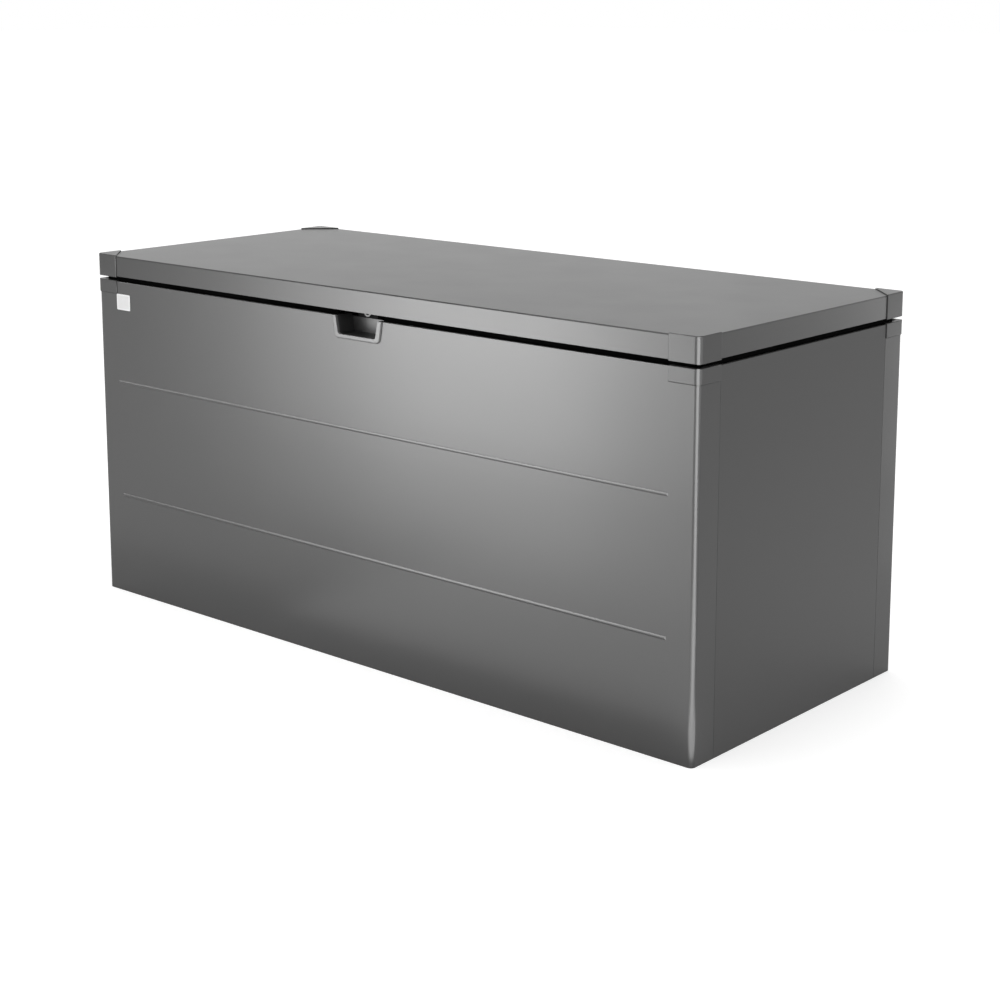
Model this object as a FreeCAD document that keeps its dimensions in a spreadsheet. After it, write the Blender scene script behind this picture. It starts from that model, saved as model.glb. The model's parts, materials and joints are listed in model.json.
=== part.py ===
import FreeCAD, Part
import math
import os

import Sketcher

# Outdoor storage box of folded steel sheet with a lifting lid, millimetres.
# +X runs to the right along the long side, +Y to the rear, +Z up.
# The origin is the middle of the footprint, on the ground.

SIZES = {
    # Overall sheet metal box
    "SheetLength": 1696.0,
    "SheetDepth": 706.0,
    "BodyHeight": 738.6,
    "LidGap": 11.9,
    "LidHeight": 46.2,
    "SheetWall": 1.0,
    "CornerRadius": 10.0,
    "BodyBend": 0.8,
    "LidBend": 3.0,
    "TopFlangeEnds": 26.0,
    "TopFlangeLong": 34.0,
    "BottomFlange": 30.0,
    "LidHem": 9.0,
    "CornerReturn": 67.0,
    "SeamGap": 0.4,
    "JoggleLap": 20.0,
    "JoggleMargin": 3.0,
    # Pressed beads on the front
    "BeadEndInset": 63.0,
    "BeadLowHeight": 235.0,
    "BeadHighDrop": 234.3,
    "BeadWidth": 7.0,
    "BeadProud": 1.8,
    # Corner caps
    "CapProud": 2.0,
    "CapLeg": 68.0,
    "CapTopThickness": 2.3,
    "CapTopBend": 1.6,
    "LidCapBelow": 2.3,
    "BodyCapAbove": 1.9,
    "BodyCapHeight": 29.5,
    "CapLip": 8.0,
    # Grip recess in the front
    "GripTopHalf": 60.5,
    "GripBottomHalf": 53.5,
    "GripHeight": 37.6,
    "GripWall": 2.0,
    "GripDepth": 45.0,
    "GripRearDrop": 6.6,
    "GripRadius": 7.0,
    "GripClearance": 0.2,
    "BezelTopWidth": 11.25,
    "BezelBottomWidth": 10.35,
    "BezelBelow": 9.0,
    "BezelRadius": 11.5,
    "BezelProud": 4.0,
    "BezelRim": 0.6,
    # Rim seal standing on the top flange
    "SealInset": 10.0,
    "SealWall": 2.5,
    "SealFoot": 14.0,
    "SealFootThickness": 1.5,
    "SealRise": 18.4,
    "SealGapMargin": 3.3,
    # Floor
    "FloorHeight": 20.0,
    "FloorWall": 1.0,
    "FloorClearance": 2.0,
    "FloorBeadWidth": 40.0,
    "FloorBeadDepth": 4.0,
    "FloorBeadMargin": 110.0,
    "BearerWidth": 60.0,
    # Hinges
    "HingeAxisInset": 0.5,
    "BarrelRadius": 4.5,
    "BarrelClearance": 0.6,
    "PinRadius": 2.2,
    "PinClearance": 0.05,
    "HingeLength": 100.0,
    "HingeMiddle": 40.0,
    "HingeSideGap": 0.3,
    "LeafThickness": 1.5,
    "LeafMargin": 6.0,
    "HingeSpacing": 620.0,
    "NotchClearance": 0.5,
    # Lid stiffeners
    "RailHeight": 28.0,
    "RailWidth": 46.0,
    "RailFoot": 12.0,
    "RailWall": 1.2,
    "RailInset": 22.0,
    "RailEndInset": 48.0,
    "RibSpacing": 470.0,
    "RibGap": 0.4,
    "BufferRadius": 9.0,
    "BufferGap": 0.3,
    "BufferEndInset": 98.0,
    # Lock in the grip recess
    "LockWidth": 56.0,
    "LockFrontInset": 31.0,
    "LockDepth": 30.0,
    "LockDrop": 12.0,
    "LockAxisRise": 9.4,
    "LockBevel": 2.0,
    "LockRingRadius": 10.0,
    "LockRingProud": 2.0,
    "PlugRadius": 6.5,
    "PlugClearance": 0.05,
    "KeyWidth": 1.6,
    "KeyLength": 7.0,
    "KeyDepth": 3.0,
    "CamThickness": 3.0,
    "CamLength": 30.0,
    "CamWidth": 9.0,
    "CamTipRadius": 2.7,
    "CamGap": 0.3,
    "StrikeWall": 2.5,
    "StrikeHalf": 30.0,
    "StrikePlateHeight": 22.0,
    "StrikeClearance": 0.8,
    "StrikeSideGap": 2.4,
    # Gas springs
    "SpringClearance": 5.0,
    "SpringTubeRadius": 9.0,
    "SpringRodRadius": 4.0,
    "RodClearance": 0.05,
    "SpringBodyInset": 123.0,
    "SpringBodyDrop": 248.6,
    "SpringLidInset": 123.0,
    "SpringLidDrop": 32.7,
    "SpringTubeLength": 190.0,
    "SpringNeck": 4.0,
    "TubeEndWall": 8.0,
    "RodEndGap": 4.0,
    "EyeRadius": 8.0,
    "EyeThickness": 10.0,
    "StudRadius": 4.0,
    "StudFlangeRadius": 6.0,
    "StudReach": 2.0,
    "StudGap": 0.3,
    "TubeClearance": 1.0,
    "SpringBracketWall": 2.5,
    "SpringBracketWidth": 40.0,
    "SpringBracketHeight": 44.0,
    "SpringBracketFoot": 14.0,
    "SpringBracketBelow": 3.0,
    "SpringBracketCorner": 6.0,
    # Screws of the lock and the lower brackets
    "ScrewRadius": 2.5,
    "ScrewBite": 9.0,
    "ScrewHeadRadius": 4.6,
    "ScrewHeadHeight": 3.0,
    "ScrewClearance": 0.05,
}

# How far a cut starts outside the face that it enters
PAST = 1.0
# How far a cut reaches beyond the whole box in plan
FAR = 50.0
# A bevel at 45 degrees that touches a round corner cuts off this share of its radius
BEVEL_SHARE = 2 - math.sqrt(2)


class Size:
    """A length with its value and the sheet formula that it comes from."""

    def __init__(self, value, text):
        self.value = float(value)
        self.text = text

    def __add__(self, other):
        other = as_size(other)
        return Size(self.value + other.value, "(%s + %s)" % (self.text, other.text))

    def __sub__(self, other):
        other = as_size(other)
        return Size(self.value - other.value, "(%s - %s)" % (self.text, other.text))

    def __mul__(self, other):
        other = as_size(other)
        return Size(self.value * other.value, "(%s * %s)" % (self.text, other.text))

    def __truediv__(self, other):
        other = as_size(other)
        return Size(self.value / other.value, "(%s / %s)" % (self.text, other.text))

    def __neg__(self):
        return Size(-self.value, "(-1 * %s)" % self.text)


def as_size(number):
    """Plain numbers join in formulas beside named sizes."""
    if isinstance(number, Size):
        return number
    return Size(number, "(%r)" % float(number))


doc = FreeCAD.newDocument("StorageBox")
sheet = doc.addObject("Spreadsheet::Sheet", "Sizes")
for row, (alias, number) in enumerate(SIZES.items(), start=1):
    sheet.set("A%d" % row, alias)
    sheet.set("B%d" % row, str(number))
    sheet.setAlias("B%d" % row, alias)
doc.recompute()


def size(alias):
    """The named size, read from the sheet."""
    return Size(sheet.get(alias), "Sizes.%s" % alias)


class Piece:
    """One sub-part, a body with its own sketches and features."""

    def __init__(self, name):
        self.body = doc.addObject("PartDesign::Body", name)
        self.body.Label = name
        self.steps = 0

    def label(self, kind):
        """A feature name that is used once in this sub-part."""
        self.steps += 1
        return "%s_%s_%d" % (self.body.Label, kind, self.steps)

    def sketch(self, role, offset):
        """An empty sketch parallel to one of the body's origin planes."""
        sketch = self.body.newObject("Sketcher::SketchObject", self.label("sketch"))
        for feature in self.body.Origin.OriginFeatures:
            if feature.Role == role:
                sketch.AttachmentSupport = [(feature, "")]
        sketch.MapMode = "FlatFace"
        sketch.setExpression("AttachmentOffset.Base.z", as_size(offset).text)
        return sketch

    def pad(self, sketch, length, backwards=False):
        """Adds the sketch's area, drawn out along its normal."""
        pad = self.body.newObject("PartDesign::Pad", self.label("pad"))
        pad.Profile = sketch
        pad.setExpression("Length", as_size(length).text)
        pad.Reversed = backwards
        return self.keep(pad)

    def pocket(self, sketch, length, backwards=False):
        """Cuts the sketch's area away, against its normal."""
        pocket = self.body.newObject("PartDesign::Pocket", self.label("pocket"))
        pocket.Profile = sketch
        pocket.setExpression("Length", as_size(length).text)
        pocket.Reversed = backwards
        return self.keep(pocket)

    def keep(self, feature):
        """Recomputes the feature and hides nothing that fails."""
        doc.recompute()
        if "Invalid" in feature.State or feature.Shape.isNull():
            raise RuntimeError("feature failed: " + feature.Name)
        return feature

    def picked(self, picks):
        """The tip and the names of those of its edges that the test picks."""
        tip = self.body.Tip
        names = []
        for number, edge in enumerate(tip.Shape.Edges, start=1):
            if picks(edge):
                names.append("Edge%d" % number)
        if not names:
            raise RuntimeError("no edge to work on " + self.body.Label)
        return tip, names

    def fillet(self, radius, picks):
        """Rounds the picked edges of the present shape."""
        edges = self.picked(picks)
        fillet = self.body.newObject("PartDesign::Fillet", self.label("fillet"))
        fillet.Base = edges
        fillet.setExpression("Radius", as_size(radius).text)
        return self.keep(fillet)

    def chamfer(self, width, picks):
        """Bevels the picked edges of the present shape."""
        edges = self.picked(picks)
        chamfer = self.body.newObject("PartDesign::Chamfer", self.label("chamfer"))
        chamfer.Base = edges
        chamfer.setExpression("Size", as_size(width).text)
        return self.keep(chamfer)


def bind(sketch, kind, first, end, number):
    """Ties one coordinate of a sketch point to its formula."""
    number = as_size(number)
    if abs(number.value) < 1e-9:
        axis = -2 if kind == "DistanceX" else -1
        sketch.addConstraint(Sketcher.Constraint("PointOnObject", first, end, axis))
        return
    place = sketch.addConstraint(Sketcher.Constraint(kind, -1, 1, first, end, number.value))
    sketch.setExpression("Constraints[%d]" % place, number.text)


def polygon(sketch, points):
    """A closed outline of straight lines with every corner tied to the sizes."""
    first = sketch.GeometryCount
    count = len(points)
    corners = [FreeCAD.Vector(as_size(a).value, as_size(b).value, 0) for a, b in points]
    for index in range(count):
        sketch.addGeometry(Part.LineSegment(corners[index], corners[(index + 1) % count]))
    for index in range(count):
        after = first + (index + 1) % count
        sketch.addConstraint(Sketcher.Constraint("Coincident", first + index, 2, after, 1))
        bind(sketch, "DistanceX", first + index, 1, points[index][0])
        bind(sketch, "DistanceY", first + index, 1, points[index][1])


def rectangle(sketch, left, low, right, high):
    """A rectangle between two corners."""
    polygon(sketch, [(left, low), (right, low), (right, high), (left, high)])


def round_rectangle(sketch, half_x, half_y, radius):
    """A rectangle about the sketch's origin with equal corner arcs."""
    first = sketch.GeometryCount
    hx, hy, r = half_x.value, half_y.value, radius.value
    centres = [(hx - r, hy - r), (r - hx, hy - r), (r - hx, r - hy), (hx - r, r - hy)]
    for quarter, (cx, cy) in enumerate(centres):
        start = quarter * math.pi / 2
        circle = Part.Circle(FreeCAD.Vector(cx, cy, 0), FreeCAD.Vector(0, 0, 1), r)
        sketch.addGeometry(Part.ArcOfCircle(circle, start, start + math.pi / 2))
    for quarter in range(4):
        here, there = first + quarter, first + (quarter + 1) % 4
        ends = (sketch.getPoint(here, 2), sketch.getPoint(there, 1))
        line = sketch.addGeometry(Part.LineSegment(ends[0], ends[1]))
        sketch.addConstraint(Sketcher.Constraint("Tangent", line, 1, here, 2))
        sketch.addConstraint(Sketcher.Constraint("Tangent", line, 2, there, 1))
        level = "Horizontal" if quarter % 2 == 0 else "Vertical"
        sketch.addConstraint(Sketcher.Constraint(level, line))
    for quarter in range(1, 4):
        sketch.addConstraint(Sketcher.Constraint("Equal", first, first + quarter))
    place = sketch.addConstraint(Sketcher.Constraint("Radius", first, r))
    sketch.setExpression("Constraints[%d]" % place, radius.text)
    bind(sketch, "DistanceX", first, 3, half_x - radius)
    bind(sketch, "DistanceY", first, 3, half_y - radius)
    bind(sketch, "DistanceX", first + 2, 3, radius - half_x)
    bind(sketch, "DistanceY", first + 2, 3, radius - half_y)


def bevel_rectangle(sketch, half_x, half_y, radius):
    """A rectangle about the sketch's origin with corners bevelled to touch that radius."""
    cut = radius * BEVEL_SHARE
    polygon(sketch, [
        (half_x, cut - half_y),
        (half_x, half_y - cut),
        (half_x - cut, half_y),
        (cut - half_x, half_y),
        (-half_x, half_y - cut),
        (-half_x, cut - half_y),
        (cut - half_x, -half_y),
        (half_x - cut, -half_y),
    ])


def hexagon_outline(sketch, x, y, radius):
    """A hexagon about a point, with two corners level with it."""
    corners = []
    for step in range(6):
        turn = math.radians(60 * step)
        corners.append((radius * round(math.cos(turn), 9) + x, radius * round(math.sin(turn), 9) + y))
    polygon(sketch, corners)


def circle(sketch, x, y, radius):
    """A circle with its centre and radius tied to the sizes."""
    x, y, radius = as_size(x), as_size(y), as_size(radius)
    round_edge = Part.Circle(FreeCAD.Vector(x.value, y.value, 0), FreeCAD.Vector(0, 0, 1), radius.value)
    index = sketch.addGeometry(round_edge)
    place = sketch.addConstraint(Sketcher.Constraint("Radius", index, radius.value))
    sketch.setExpression("Constraints[%d]" % place, radius.text)
    bind(sketch, "DistanceX", index, 3, x)
    bind(sketch, "DistanceY", index, 3, y)


def near(first, second):
    """Two plain lengths that agree."""
    return abs(first - second) < 0.01


def upright(edge, x, y):
    """True for a vertical edge at a place in plan."""
    box = edge.BoundBox
    return near(box.XMin, x) and near(box.XMax, x) and near(box.YMin, y) and near(box.YMax, y)


half_length = size("SheetLength") / 2
half_depth = size("SheetDepth") / 2
wall = size("SheetWall")
body_height = size("BodyHeight")
lid_bottom = body_height + size("LidGap")
lid_top = lid_bottom + size("LidHeight")
under_lid = lid_top - wall
corner = size("CornerRadius")
seam_y = half_depth - size("CornerReturn")
far_x = half_length + FAR
far_y = half_depth + FAR


def folded_shell(name):
    """The four walls with their corner bends, top flange and bottom flange."""
    piece = Piece(name)
    skin = piece.sketch("XY_Plane", 0)
    round_rectangle(skin, half_length, half_depth, corner)
    piece.pad(skin, body_height)
    top, bend = body_height.value, size("BodyBend")
    piece.chamfer(bend, lambda edge: near(edge.BoundBox.ZMin, top))
    hollow = piece.sketch("XY_Plane", wall)
    round_rectangle(hollow, half_length - wall, half_depth - wall, corner - wall)
    piece.pocket(hollow, body_height - wall * 2, backwards=True)
    mouth = piece.sketch("XY_Plane", body_height)
    inner_x = half_length - size("TopFlangeEnds")
    inner_y = half_depth - size("TopFlangeLong")
    rectangle(mouth, -inner_x, -inner_y, inner_x, inner_y)
    piece.pocket(mouth, wall * 2)
    base = piece.sketch("XY_Plane", 0)
    inner_x = half_length - size("BottomFlange")
    inner_y = half_depth - size("BottomFlange")
    rectangle(base, -inner_x, -inner_y, inner_x, inner_y)
    piece.pocket(base, wall * 2, backwards=True)
    return piece


def trim(piece, left, low, right, high):
    """Cuts away everything that stands on a rectangle in plan."""
    area = piece.sketch("XY_Plane", 0)
    rectangle(area, left, low, right, high)
    piece.pocket(area, body_height + PAST, backwards=True)


def trapezoid(sketch, top_half, bottom_half, low, high):
    """The outline of the grip recess, wider at its top."""
    polygon(sketch, [(-bottom_half, low), (bottom_half, low), (top_half, high), (-top_half, high)])


front_y = -half_depth
grip_top = size("GripTopHalf")
grip_bottom = size("GripBottomHalf")
grip_floor = body_height - size("GripHeight")
grip_wall = size("GripWall")


def bead(piece, height):
    """One pressed bead: a ridge with sloping ends outside and the groove behind it."""
    half = size("BeadWidth") / 2
    proud = size("BeadProud")
    end = half_length - size("BeadEndInset")
    ridge = piece.sketch("YZ_Plane", -end)
    bead_arc(ridge, front_y, front_y - proud, height, half)
    piece.pad(ridge, end * 2)
    rise = proud + PAST
    for side in (-1, 1):
        slope = piece.sketch("XY_Plane", height - half)
        polygon(slope, [
            (end * side, front_y),
            (end * side, front_y - rise),
            ((end - rise) * side, front_y - rise),
        ])
        piece.pocket(slope, half * 2, backwards=True)
    groove_end = end - proud - wall
    groove = piece.sketch("YZ_Plane", -groove_end)
    bead_arc(groove, front_y + wall, front_y + wall - proud, height, half - wall)
    piece.pocket(groove, groove_end * 2, backwards=True)


def bead_circle(foot, crown, half):
    """Centre and radius of the arc through the two feet and the crown."""
    rise = as_size(foot - crown)
    radius = (half * half + rise * rise) / (rise * 2)
    return crown + radius, radius


def bead_arc(sketch, foot, crown, height, half):
    """A circle segment with its chord on the panel's face."""
    centre, radius = bead_circle(foot, crown, half)
    spread = math.asin(half.value / radius.value)
    middle = FreeCAD.Vector(centre.value, height.value, 0)
    ring = Part.Circle(middle, FreeCAD.Vector(0, 0, 1), radius.value)
    arc = sketch.addGeometry(Part.ArcOfCircle(ring, math.pi - spread, math.pi + spread))
    chord = sketch.addGeometry(Part.LineSegment(sketch.getPoint(arc, 2), sketch.getPoint(arc, 1)))
    sketch.addConstraint(Sketcher.Constraint("Coincident", arc, 2, chord, 1))
    sketch.addConstraint(Sketcher.Constraint("Coincident", chord, 2, arc, 1))
    bind(sketch, "DistanceX", arc, 1, foot)
    bind(sketch, "DistanceY", arc, 1, height + half)
    bind(sketch, "DistanceX", arc, 2, foot)
    bind(sketch, "DistanceY", arc, 2, height - half)
    bind(sketch, "DistanceX", arc, 3, centre)


def front_panel():
    """Front sheet, wrapped round both front corners, with beads and grip cut-out."""
    piece = folded_shell("front_panel")
    trim(piece, -far_x, -seam_y, far_x, far_y)
    for height in (size("BeadLowHeight"), body_height - size("BeadHighDrop")):
        bead(piece, height)
    slack = size("GripClearance")
    cut = piece.sketch("XZ_Plane", half_depth + PAST)
    lean = grip_wall + slack
    trapezoid(cut, grip_top + lean, grip_bottom + lean, grip_floor - lean, body_height)
    piece.pocket(cut, size("TopFlangeLong") + PAST * 2)
    return piece.body


def rear_panel():
    """Rear sheet, wrapped round both rear corners, with slots for the hinge leaves."""
    piece = folded_shell("rear_panel")
    trim(piece, -far_x, -far_y, far_x, seam_y)
    slack = size("NotchClearance")
    for place in hinge_places():
        slot = piece.sketch("XY_Plane", body_height + PAST)
        reach = size("HingeLength") / 2 + slack
        inner = half_depth - wall
        depth = size("LeafThickness") + slack
        rectangle(slot, place - reach, inner - depth, place + reach, inner)
        piece.pocket(slot, wall + PAST)
    return piece.body


def side_panel(name, side):
    """Side sheet between the corner seams, with joggled laps behind the returns."""
    piece = folded_shell(name)
    gap = size("SeamGap")
    trim(piece, -far_x, -far_y, far_x, -seam_y + gap)
    trim(piece, -far_x, seam_y - gap, far_x, far_y)
    kept = size("TopFlangeEnds") + size("BottomFlange")
    if side > 0:
        trim(piece, -far_x, -far_y, half_length - kept, far_y)
    else:
        trim(piece, kept - half_length, -far_y, far_x, far_y)
    margin = size("JoggleMargin")
    lap = size("JoggleLap")
    face = half_length - wall
    for end in (-1, 1):
        tongue = piece.sketch("XY_Plane", wall + margin)
        near_edge = (seam_y - margin) * end
        far_edge = (seam_y + lap) * end
        polygon(tongue, [
            ((face - wall) * side, near_edge),
            (face * side, near_edge),
            (face * side, far_edge),
            ((face - wall) * side, far_edge),
        ])
        piece.pad(tongue, body_height - (wall + margin) * 2)
    return piece.body


cap_radius = corner + size("CapProud")


def corner_block(name, side_x, side_y, low, high):
    """The solid corner that a cap is cut from, rounded on its outer upright edge."""
    piece = Piece(name)
    proud = size("CapProud")
    outer_x = (half_length + proud) * side_x
    outer_y = (half_depth + proud) * side_y
    inner_x = (half_length + proud - size("CapLeg")) * side_x
    inner_y = (half_depth + proud - size("CapLeg")) * side_y
    block = piece.sketch("XY_Plane", low)
    polygon(block, [(outer_x, outer_y), (inner_x, outer_y), (inner_x, inner_y), (outer_x, inner_y)])
    piece.pad(block, high - low)
    ox, oy = outer_x.value, outer_y.value
    piece.fillet(cap_radius, lambda edge: upright(edge, ox, oy))
    return piece


def hollow_corner(piece, side_x, side_y, inset, low, high):
    """Cuts out the sheet metal corner that the cap covers, held back by an inset."""
    room = piece.sketch("XY_Plane", low)
    edge_x = (half_length - inset) * side_x
    edge_y = (half_depth - inset) * side_y
    back_x = (half_length - size("CapLeg") - FAR) * side_x
    back_y = (half_depth - size("CapLeg") - FAR) * side_y
    cut = corner * BEVEL_SHARE
    polygon(room, [
        (edge_x, edge_y - cut * side_y),
        (edge_x - cut * side_x, edge_y),
        (back_x, edge_y),
        (back_x, back_y),
        (edge_x, back_y),
    ])
    piece.pocket(room, high - low, backwards=True)


def lid_cap(name, side_x, side_y):
    """Cap over one lid corner: skirt, lip under the rim and cut-off top plate."""
    low = lid_bottom - size("LidCapBelow")
    high = lid_top + size("CapTopThickness")
    piece = corner_block(name, side_x, side_y, low, high)
    top = high.value
    bend = size("CapTopBend")
    proud = size("CapProud")
    edges = outer_top_edges(side_x, side_y, top)
    piece.chamfer(bend, edges)
    hollow_corner(piece, side_x, side_y, as_size(0), lid_bottom, lid_top)
    hollow_corner(piece, side_x, side_y, size("CapLip"), low - PAST, lid_bottom + PAST)
    plate = piece.sketch("XY_Plane", high + PAST)
    inner_x = (half_length + proud - size("CapLeg")) * side_x
    inner_y = (half_depth + proud - size("CapLeg")) * side_y
    beyond_x = inner_x - FAR * side_x
    beyond_y = inner_y - FAR * side_y
    polygon(plate, [
        (beyond_x, half_depth * side_y),
        (inner_x, half_depth * side_y),
        (half_length * side_x, inner_y),
        (half_length * side_x, beyond_y),
        (beyond_x, beyond_y),
    ])
    piece.pocket(plate, size("CapTopThickness") + PAST)
    return piece.body


def outer_top_edges(side_x, side_y, top):
    """Picks the top edges along the two outer faces of a cap and round its corner."""
    outer_x = (half_length + size("CapProud")).value
    outer_y = (half_depth + size("CapProud")).value
    reach = cap_radius.value

    def picks(edge):
        box = edge.BoundBox
        level = near(box.ZMin, top) and near(box.ZMax, top)
        on_x = side_x * (box.XMin + box.XMax) / 2 > outer_x - reach
        on_y = side_y * (box.YMin + box.YMax) / 2 > outer_y - reach
        return level and (on_x or on_y)

    return picks


def body_cap(name, side_x, side_y):
    """Cap over one body corner: skirt round the sheet and narrow top plate."""
    high = body_height + size("BodyCapAbove")
    low = high - size("BodyCapHeight")
    piece = corner_block(name, side_x, side_y, low, high)
    hollow_corner(piece, side_x, side_y, as_size(0), low - PAST, body_height)
    hollow_corner(piece, side_x, side_y, size("CapLip"), body_height - PAST, high + PAST)
    return piece.body


def grip_cup():
    """Moulded cup of the grip recess, with its domed bezel on the front face."""
    piece = Piece("grip_cup")
    depth = size("GripDepth")
    proud = size("BezelProud")
    bezel_low = grip_floor - size("BezelBelow")
    bezel_top_half = grip_top + size("BezelTopWidth")
    bezel_bottom_half = grip_bottom + size("BezelBottomWidth")
    plate = piece.sketch("XZ_Plane", half_depth)
    trapezoid(plate, bezel_top_half, bezel_bottom_half, bezel_low, body_height)
    piece.pad(plate, proud)
    cup_low = grip_floor - grip_wall
    shell = piece.sketch("XZ_Plane", half_depth - depth - grip_wall)
    trapezoid(shell, grip_top + grip_wall, grip_bottom + grip_wall, cup_low, body_height)
    piece.pad(shell, depth + grip_wall)
    piece.fillet(size("BezelRadius"), lambda edge: along_y(edge, bezel_low.value))
    piece.fillet(size("GripRadius") + grip_wall, lambda edge: along_y(edge, cup_low.value))
    cavity = piece.sketch("XZ_Plane", half_depth + proud + PAST)
    trapezoid(cavity, grip_top, grip_bottom, grip_floor, body_height)
    piece.pocket(cavity, proud + PAST + depth)
    piece.fillet(size("GripRadius"), lambda edge: along_y(edge, grip_floor.value))
    rear = piece.sketch("XY_Plane", body_height + PAST)
    outer = grip_top + grip_wall + PAST
    rectangle(rear, -outer, depth - half_depth, outer, depth - half_depth + grip_wall + PAST)
    piece.pocket(rear, size("GripRearDrop") + PAST)
    front = -(half_depth + proud).value
    dome = proud - size("BezelRim")
    piece.fillet(dome, bezel_edges(front, grip_top.value, grip_floor.value))
    return piece.body


def along_y(edge, level):
    """True for an edge that runs from front to rear at one height."""
    box = edge.BoundBox
    flat = near(box.ZMin, level) and near(box.ZMax, level) and near(box.XMin, box.XMax)
    return flat and box.YMax - box.YMin > 1


def bezel_edges(front, mouth_half, floor_level):
    """Picks the outer rim of the bezel's front face, not the recess's mouth."""

    def picks(edge):
        box = edge.BoundBox
        on_front = near(box.YMin, front) and near(box.YMax, front)
        low = box.ZMax < floor_level
        wide = abs(box.XMin + box.XMax) / 2 > mouth_half
        corner_arc = box.ZMin < floor_level and wide
        side_line = wide and not near(box.ZMin, box.ZMax)
        return on_front and (low or corner_arc or side_line)

    return picks


def rim_seal():
    """Black strip that stands on the top flange all round, open over the grip recess."""
    piece = Piece("rim_seal")
    inset = size("SealInset")
    lip = inset + size("SealWall")
    foot = inset + size("SealFoot")
    rise = size("SealRise")
    top = body_height + rise
    outer = piece.sketch("XY_Plane", body_height)
    bevel_rectangle(outer, half_length - inset, half_depth - inset, corner)
    piece.pad(outer, rise)
    inner = piece.sketch("XY_Plane", top)
    bevel_rectangle(inner, half_length - lip, half_depth - lip, corner)
    piece.pocket(inner, rise - size("SealFootThickness"))
    mouth = piece.sketch("XY_Plane", top)
    rectangle(mouth, foot - half_length, foot - half_depth, half_length - foot, half_depth - foot)
    piece.pocket(mouth, rise)
    gap = piece.sketch("XY_Plane", top)
    opening = grip_top + grip_wall + size("SealGapMargin")
    rectangle(gap, -opening, -far_y, opening, foot - half_depth + PAST)
    piece.pocket(gap, rise)
    return piece.body


def floor_pan(name, side):
    """Half of the floor: a sheet with turned-down edges and long stiffening beads."""
    piece = Piece(name)
    slack = size("FloorClearance")
    floor_wall = size("FloorWall")
    outer_x = (half_length - wall - slack - size("JoggleMargin")) * side
    seam = slack / 2 * side
    reach_y = half_depth - wall - slack
    high = size("FloorHeight") + floor_wall
    block = piece.sketch("XY_Plane", wall)
    polygon(block, [(seam, -reach_y), (outer_x, -reach_y), (outer_x, reach_y), (seam, reach_y)])
    piece.pad(block, high - wall)
    cut_x = outer_x - floor_wall * side
    under = piece.sketch("XY_Plane", wall)
    cut_y = reach_y - floor_wall
    open_end = seam - PAST * side
    polygon(under, [(open_end, -cut_y), (cut_x, -cut_y), (cut_x, cut_y), (open_end, cut_y)])
    piece.pocket(under, high - wall - floor_wall, backwards=True)
    margin = size("FloorBeadMargin")
    bead_half_width = size("FloorBeadWidth") / 2
    sunk = size("FloorBeadDepth")
    for row in (-1, 0, 1):
        middle = (reach_y - margin) * row
        start = margin * side
        stop = outer_x - margin * side
        ridge = piece.sketch("XY_Plane", size("FloorHeight") - sunk)
        low, up = middle - bead_half_width, middle + bead_half_width
        polygon(ridge, [(start, low), (stop, low), (stop, up), (start, up)])
        piece.pad(ridge, sunk)
        trough = piece.sketch("XY_Plane", high)
        low, up = low + floor_wall, up - floor_wall
        start, stop = start + floor_wall * side, stop - floor_wall * side
        polygon(trough, [(start, low), (stop, low), (stop, up), (start, up)])
        piece.pocket(trough, sunk)
    return piece.body


def floor_bearer():
    """Channel under the joint of the two floor halves, on the front and rear flanges."""
    piece = Piece("floor_bearer")
    half = size("BearerWidth") / 2
    floor_wall = size("FloorWall")
    reach = half_depth - wall - size("FloorClearance") - floor_wall * 2
    block = piece.sketch("XY_Plane", wall)
    rectangle(block, -half, -reach, half, reach)
    piece.pad(block, size("FloorHeight") - wall)
    under = piece.sketch("XY_Plane", wall)
    rectangle(under, floor_wall - half, -reach - PAST, half - floor_wall, reach + PAST)
    piece.pocket(under, size("FloorHeight") - wall - floor_wall, backwards=True)
    return piece.body


hinge_y = half_depth - size("HingeAxisInset")
hinge_z = body_height + size("LidGap") / 2
leaf_wall = size("LeafThickness")
leaf_gap = size("BarrelRadius") + size("BarrelClearance")
leaf_height = under_lid - size("LeafMargin") - leaf_gap - hinge_z


def hinge_places():
    """Middles of the three hinges along the rear."""
    spacing = size("HingeSpacing")
    return [-spacing, as_size(0), spacing]


def hinge_leaf(name, place, up):
    """One leaf with its barrels, on the inner face of the rear sheet."""
    piece = Piece(name)
    half = size("HingeLength") / 2
    middle = size("HingeMiddle") / 2
    side_gap = size("HingeSideGap")
    plane = half_depth - wall
    near_edge = hinge_z + leaf_gap * up
    far_edge = near_edge + leaf_height * up
    plate = piece.sketch("XZ_Plane", -plane)
    rectangle(plate, place - half, near_edge, place + half, far_edge)
    piece.pad(plate, leaf_wall)
    if up > 0:
        spans = [(place - middle + side_gap, place + middle - side_gap)]
    else:
        spans = [(place - half, place - middle), (place + middle, place + half)]
    for start, stop in spans:
        tab = piece.sketch("XZ_Plane", -plane)
        rectangle(tab, start, hinge_z, stop, near_edge + PAST * up)
        piece.pad(tab, leaf_wall)
        barrel = piece.sketch("YZ_Plane", start)
        circle(barrel, hinge_y, hinge_z, size("BarrelRadius"))
        piece.pad(barrel, stop - start)
    bore = piece.sketch("YZ_Plane", place - half - PAST)
    circle(bore, hinge_y, hinge_z, size("PinRadius") + size("PinClearance"))
    piece.pocket(bore, size("HingeLength") + PAST * 2, backwards=True)
    return piece.body


def cylinder(name, radius, height):
    """A plain cylinder bound to its sizes, standing at its own origin."""
    solid = doc.addObject("Part::Cylinder", name)
    solid.setExpression("Radius", as_size(radius).text)
    solid.setExpression("Height", as_size(height).text)
    return solid


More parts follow.
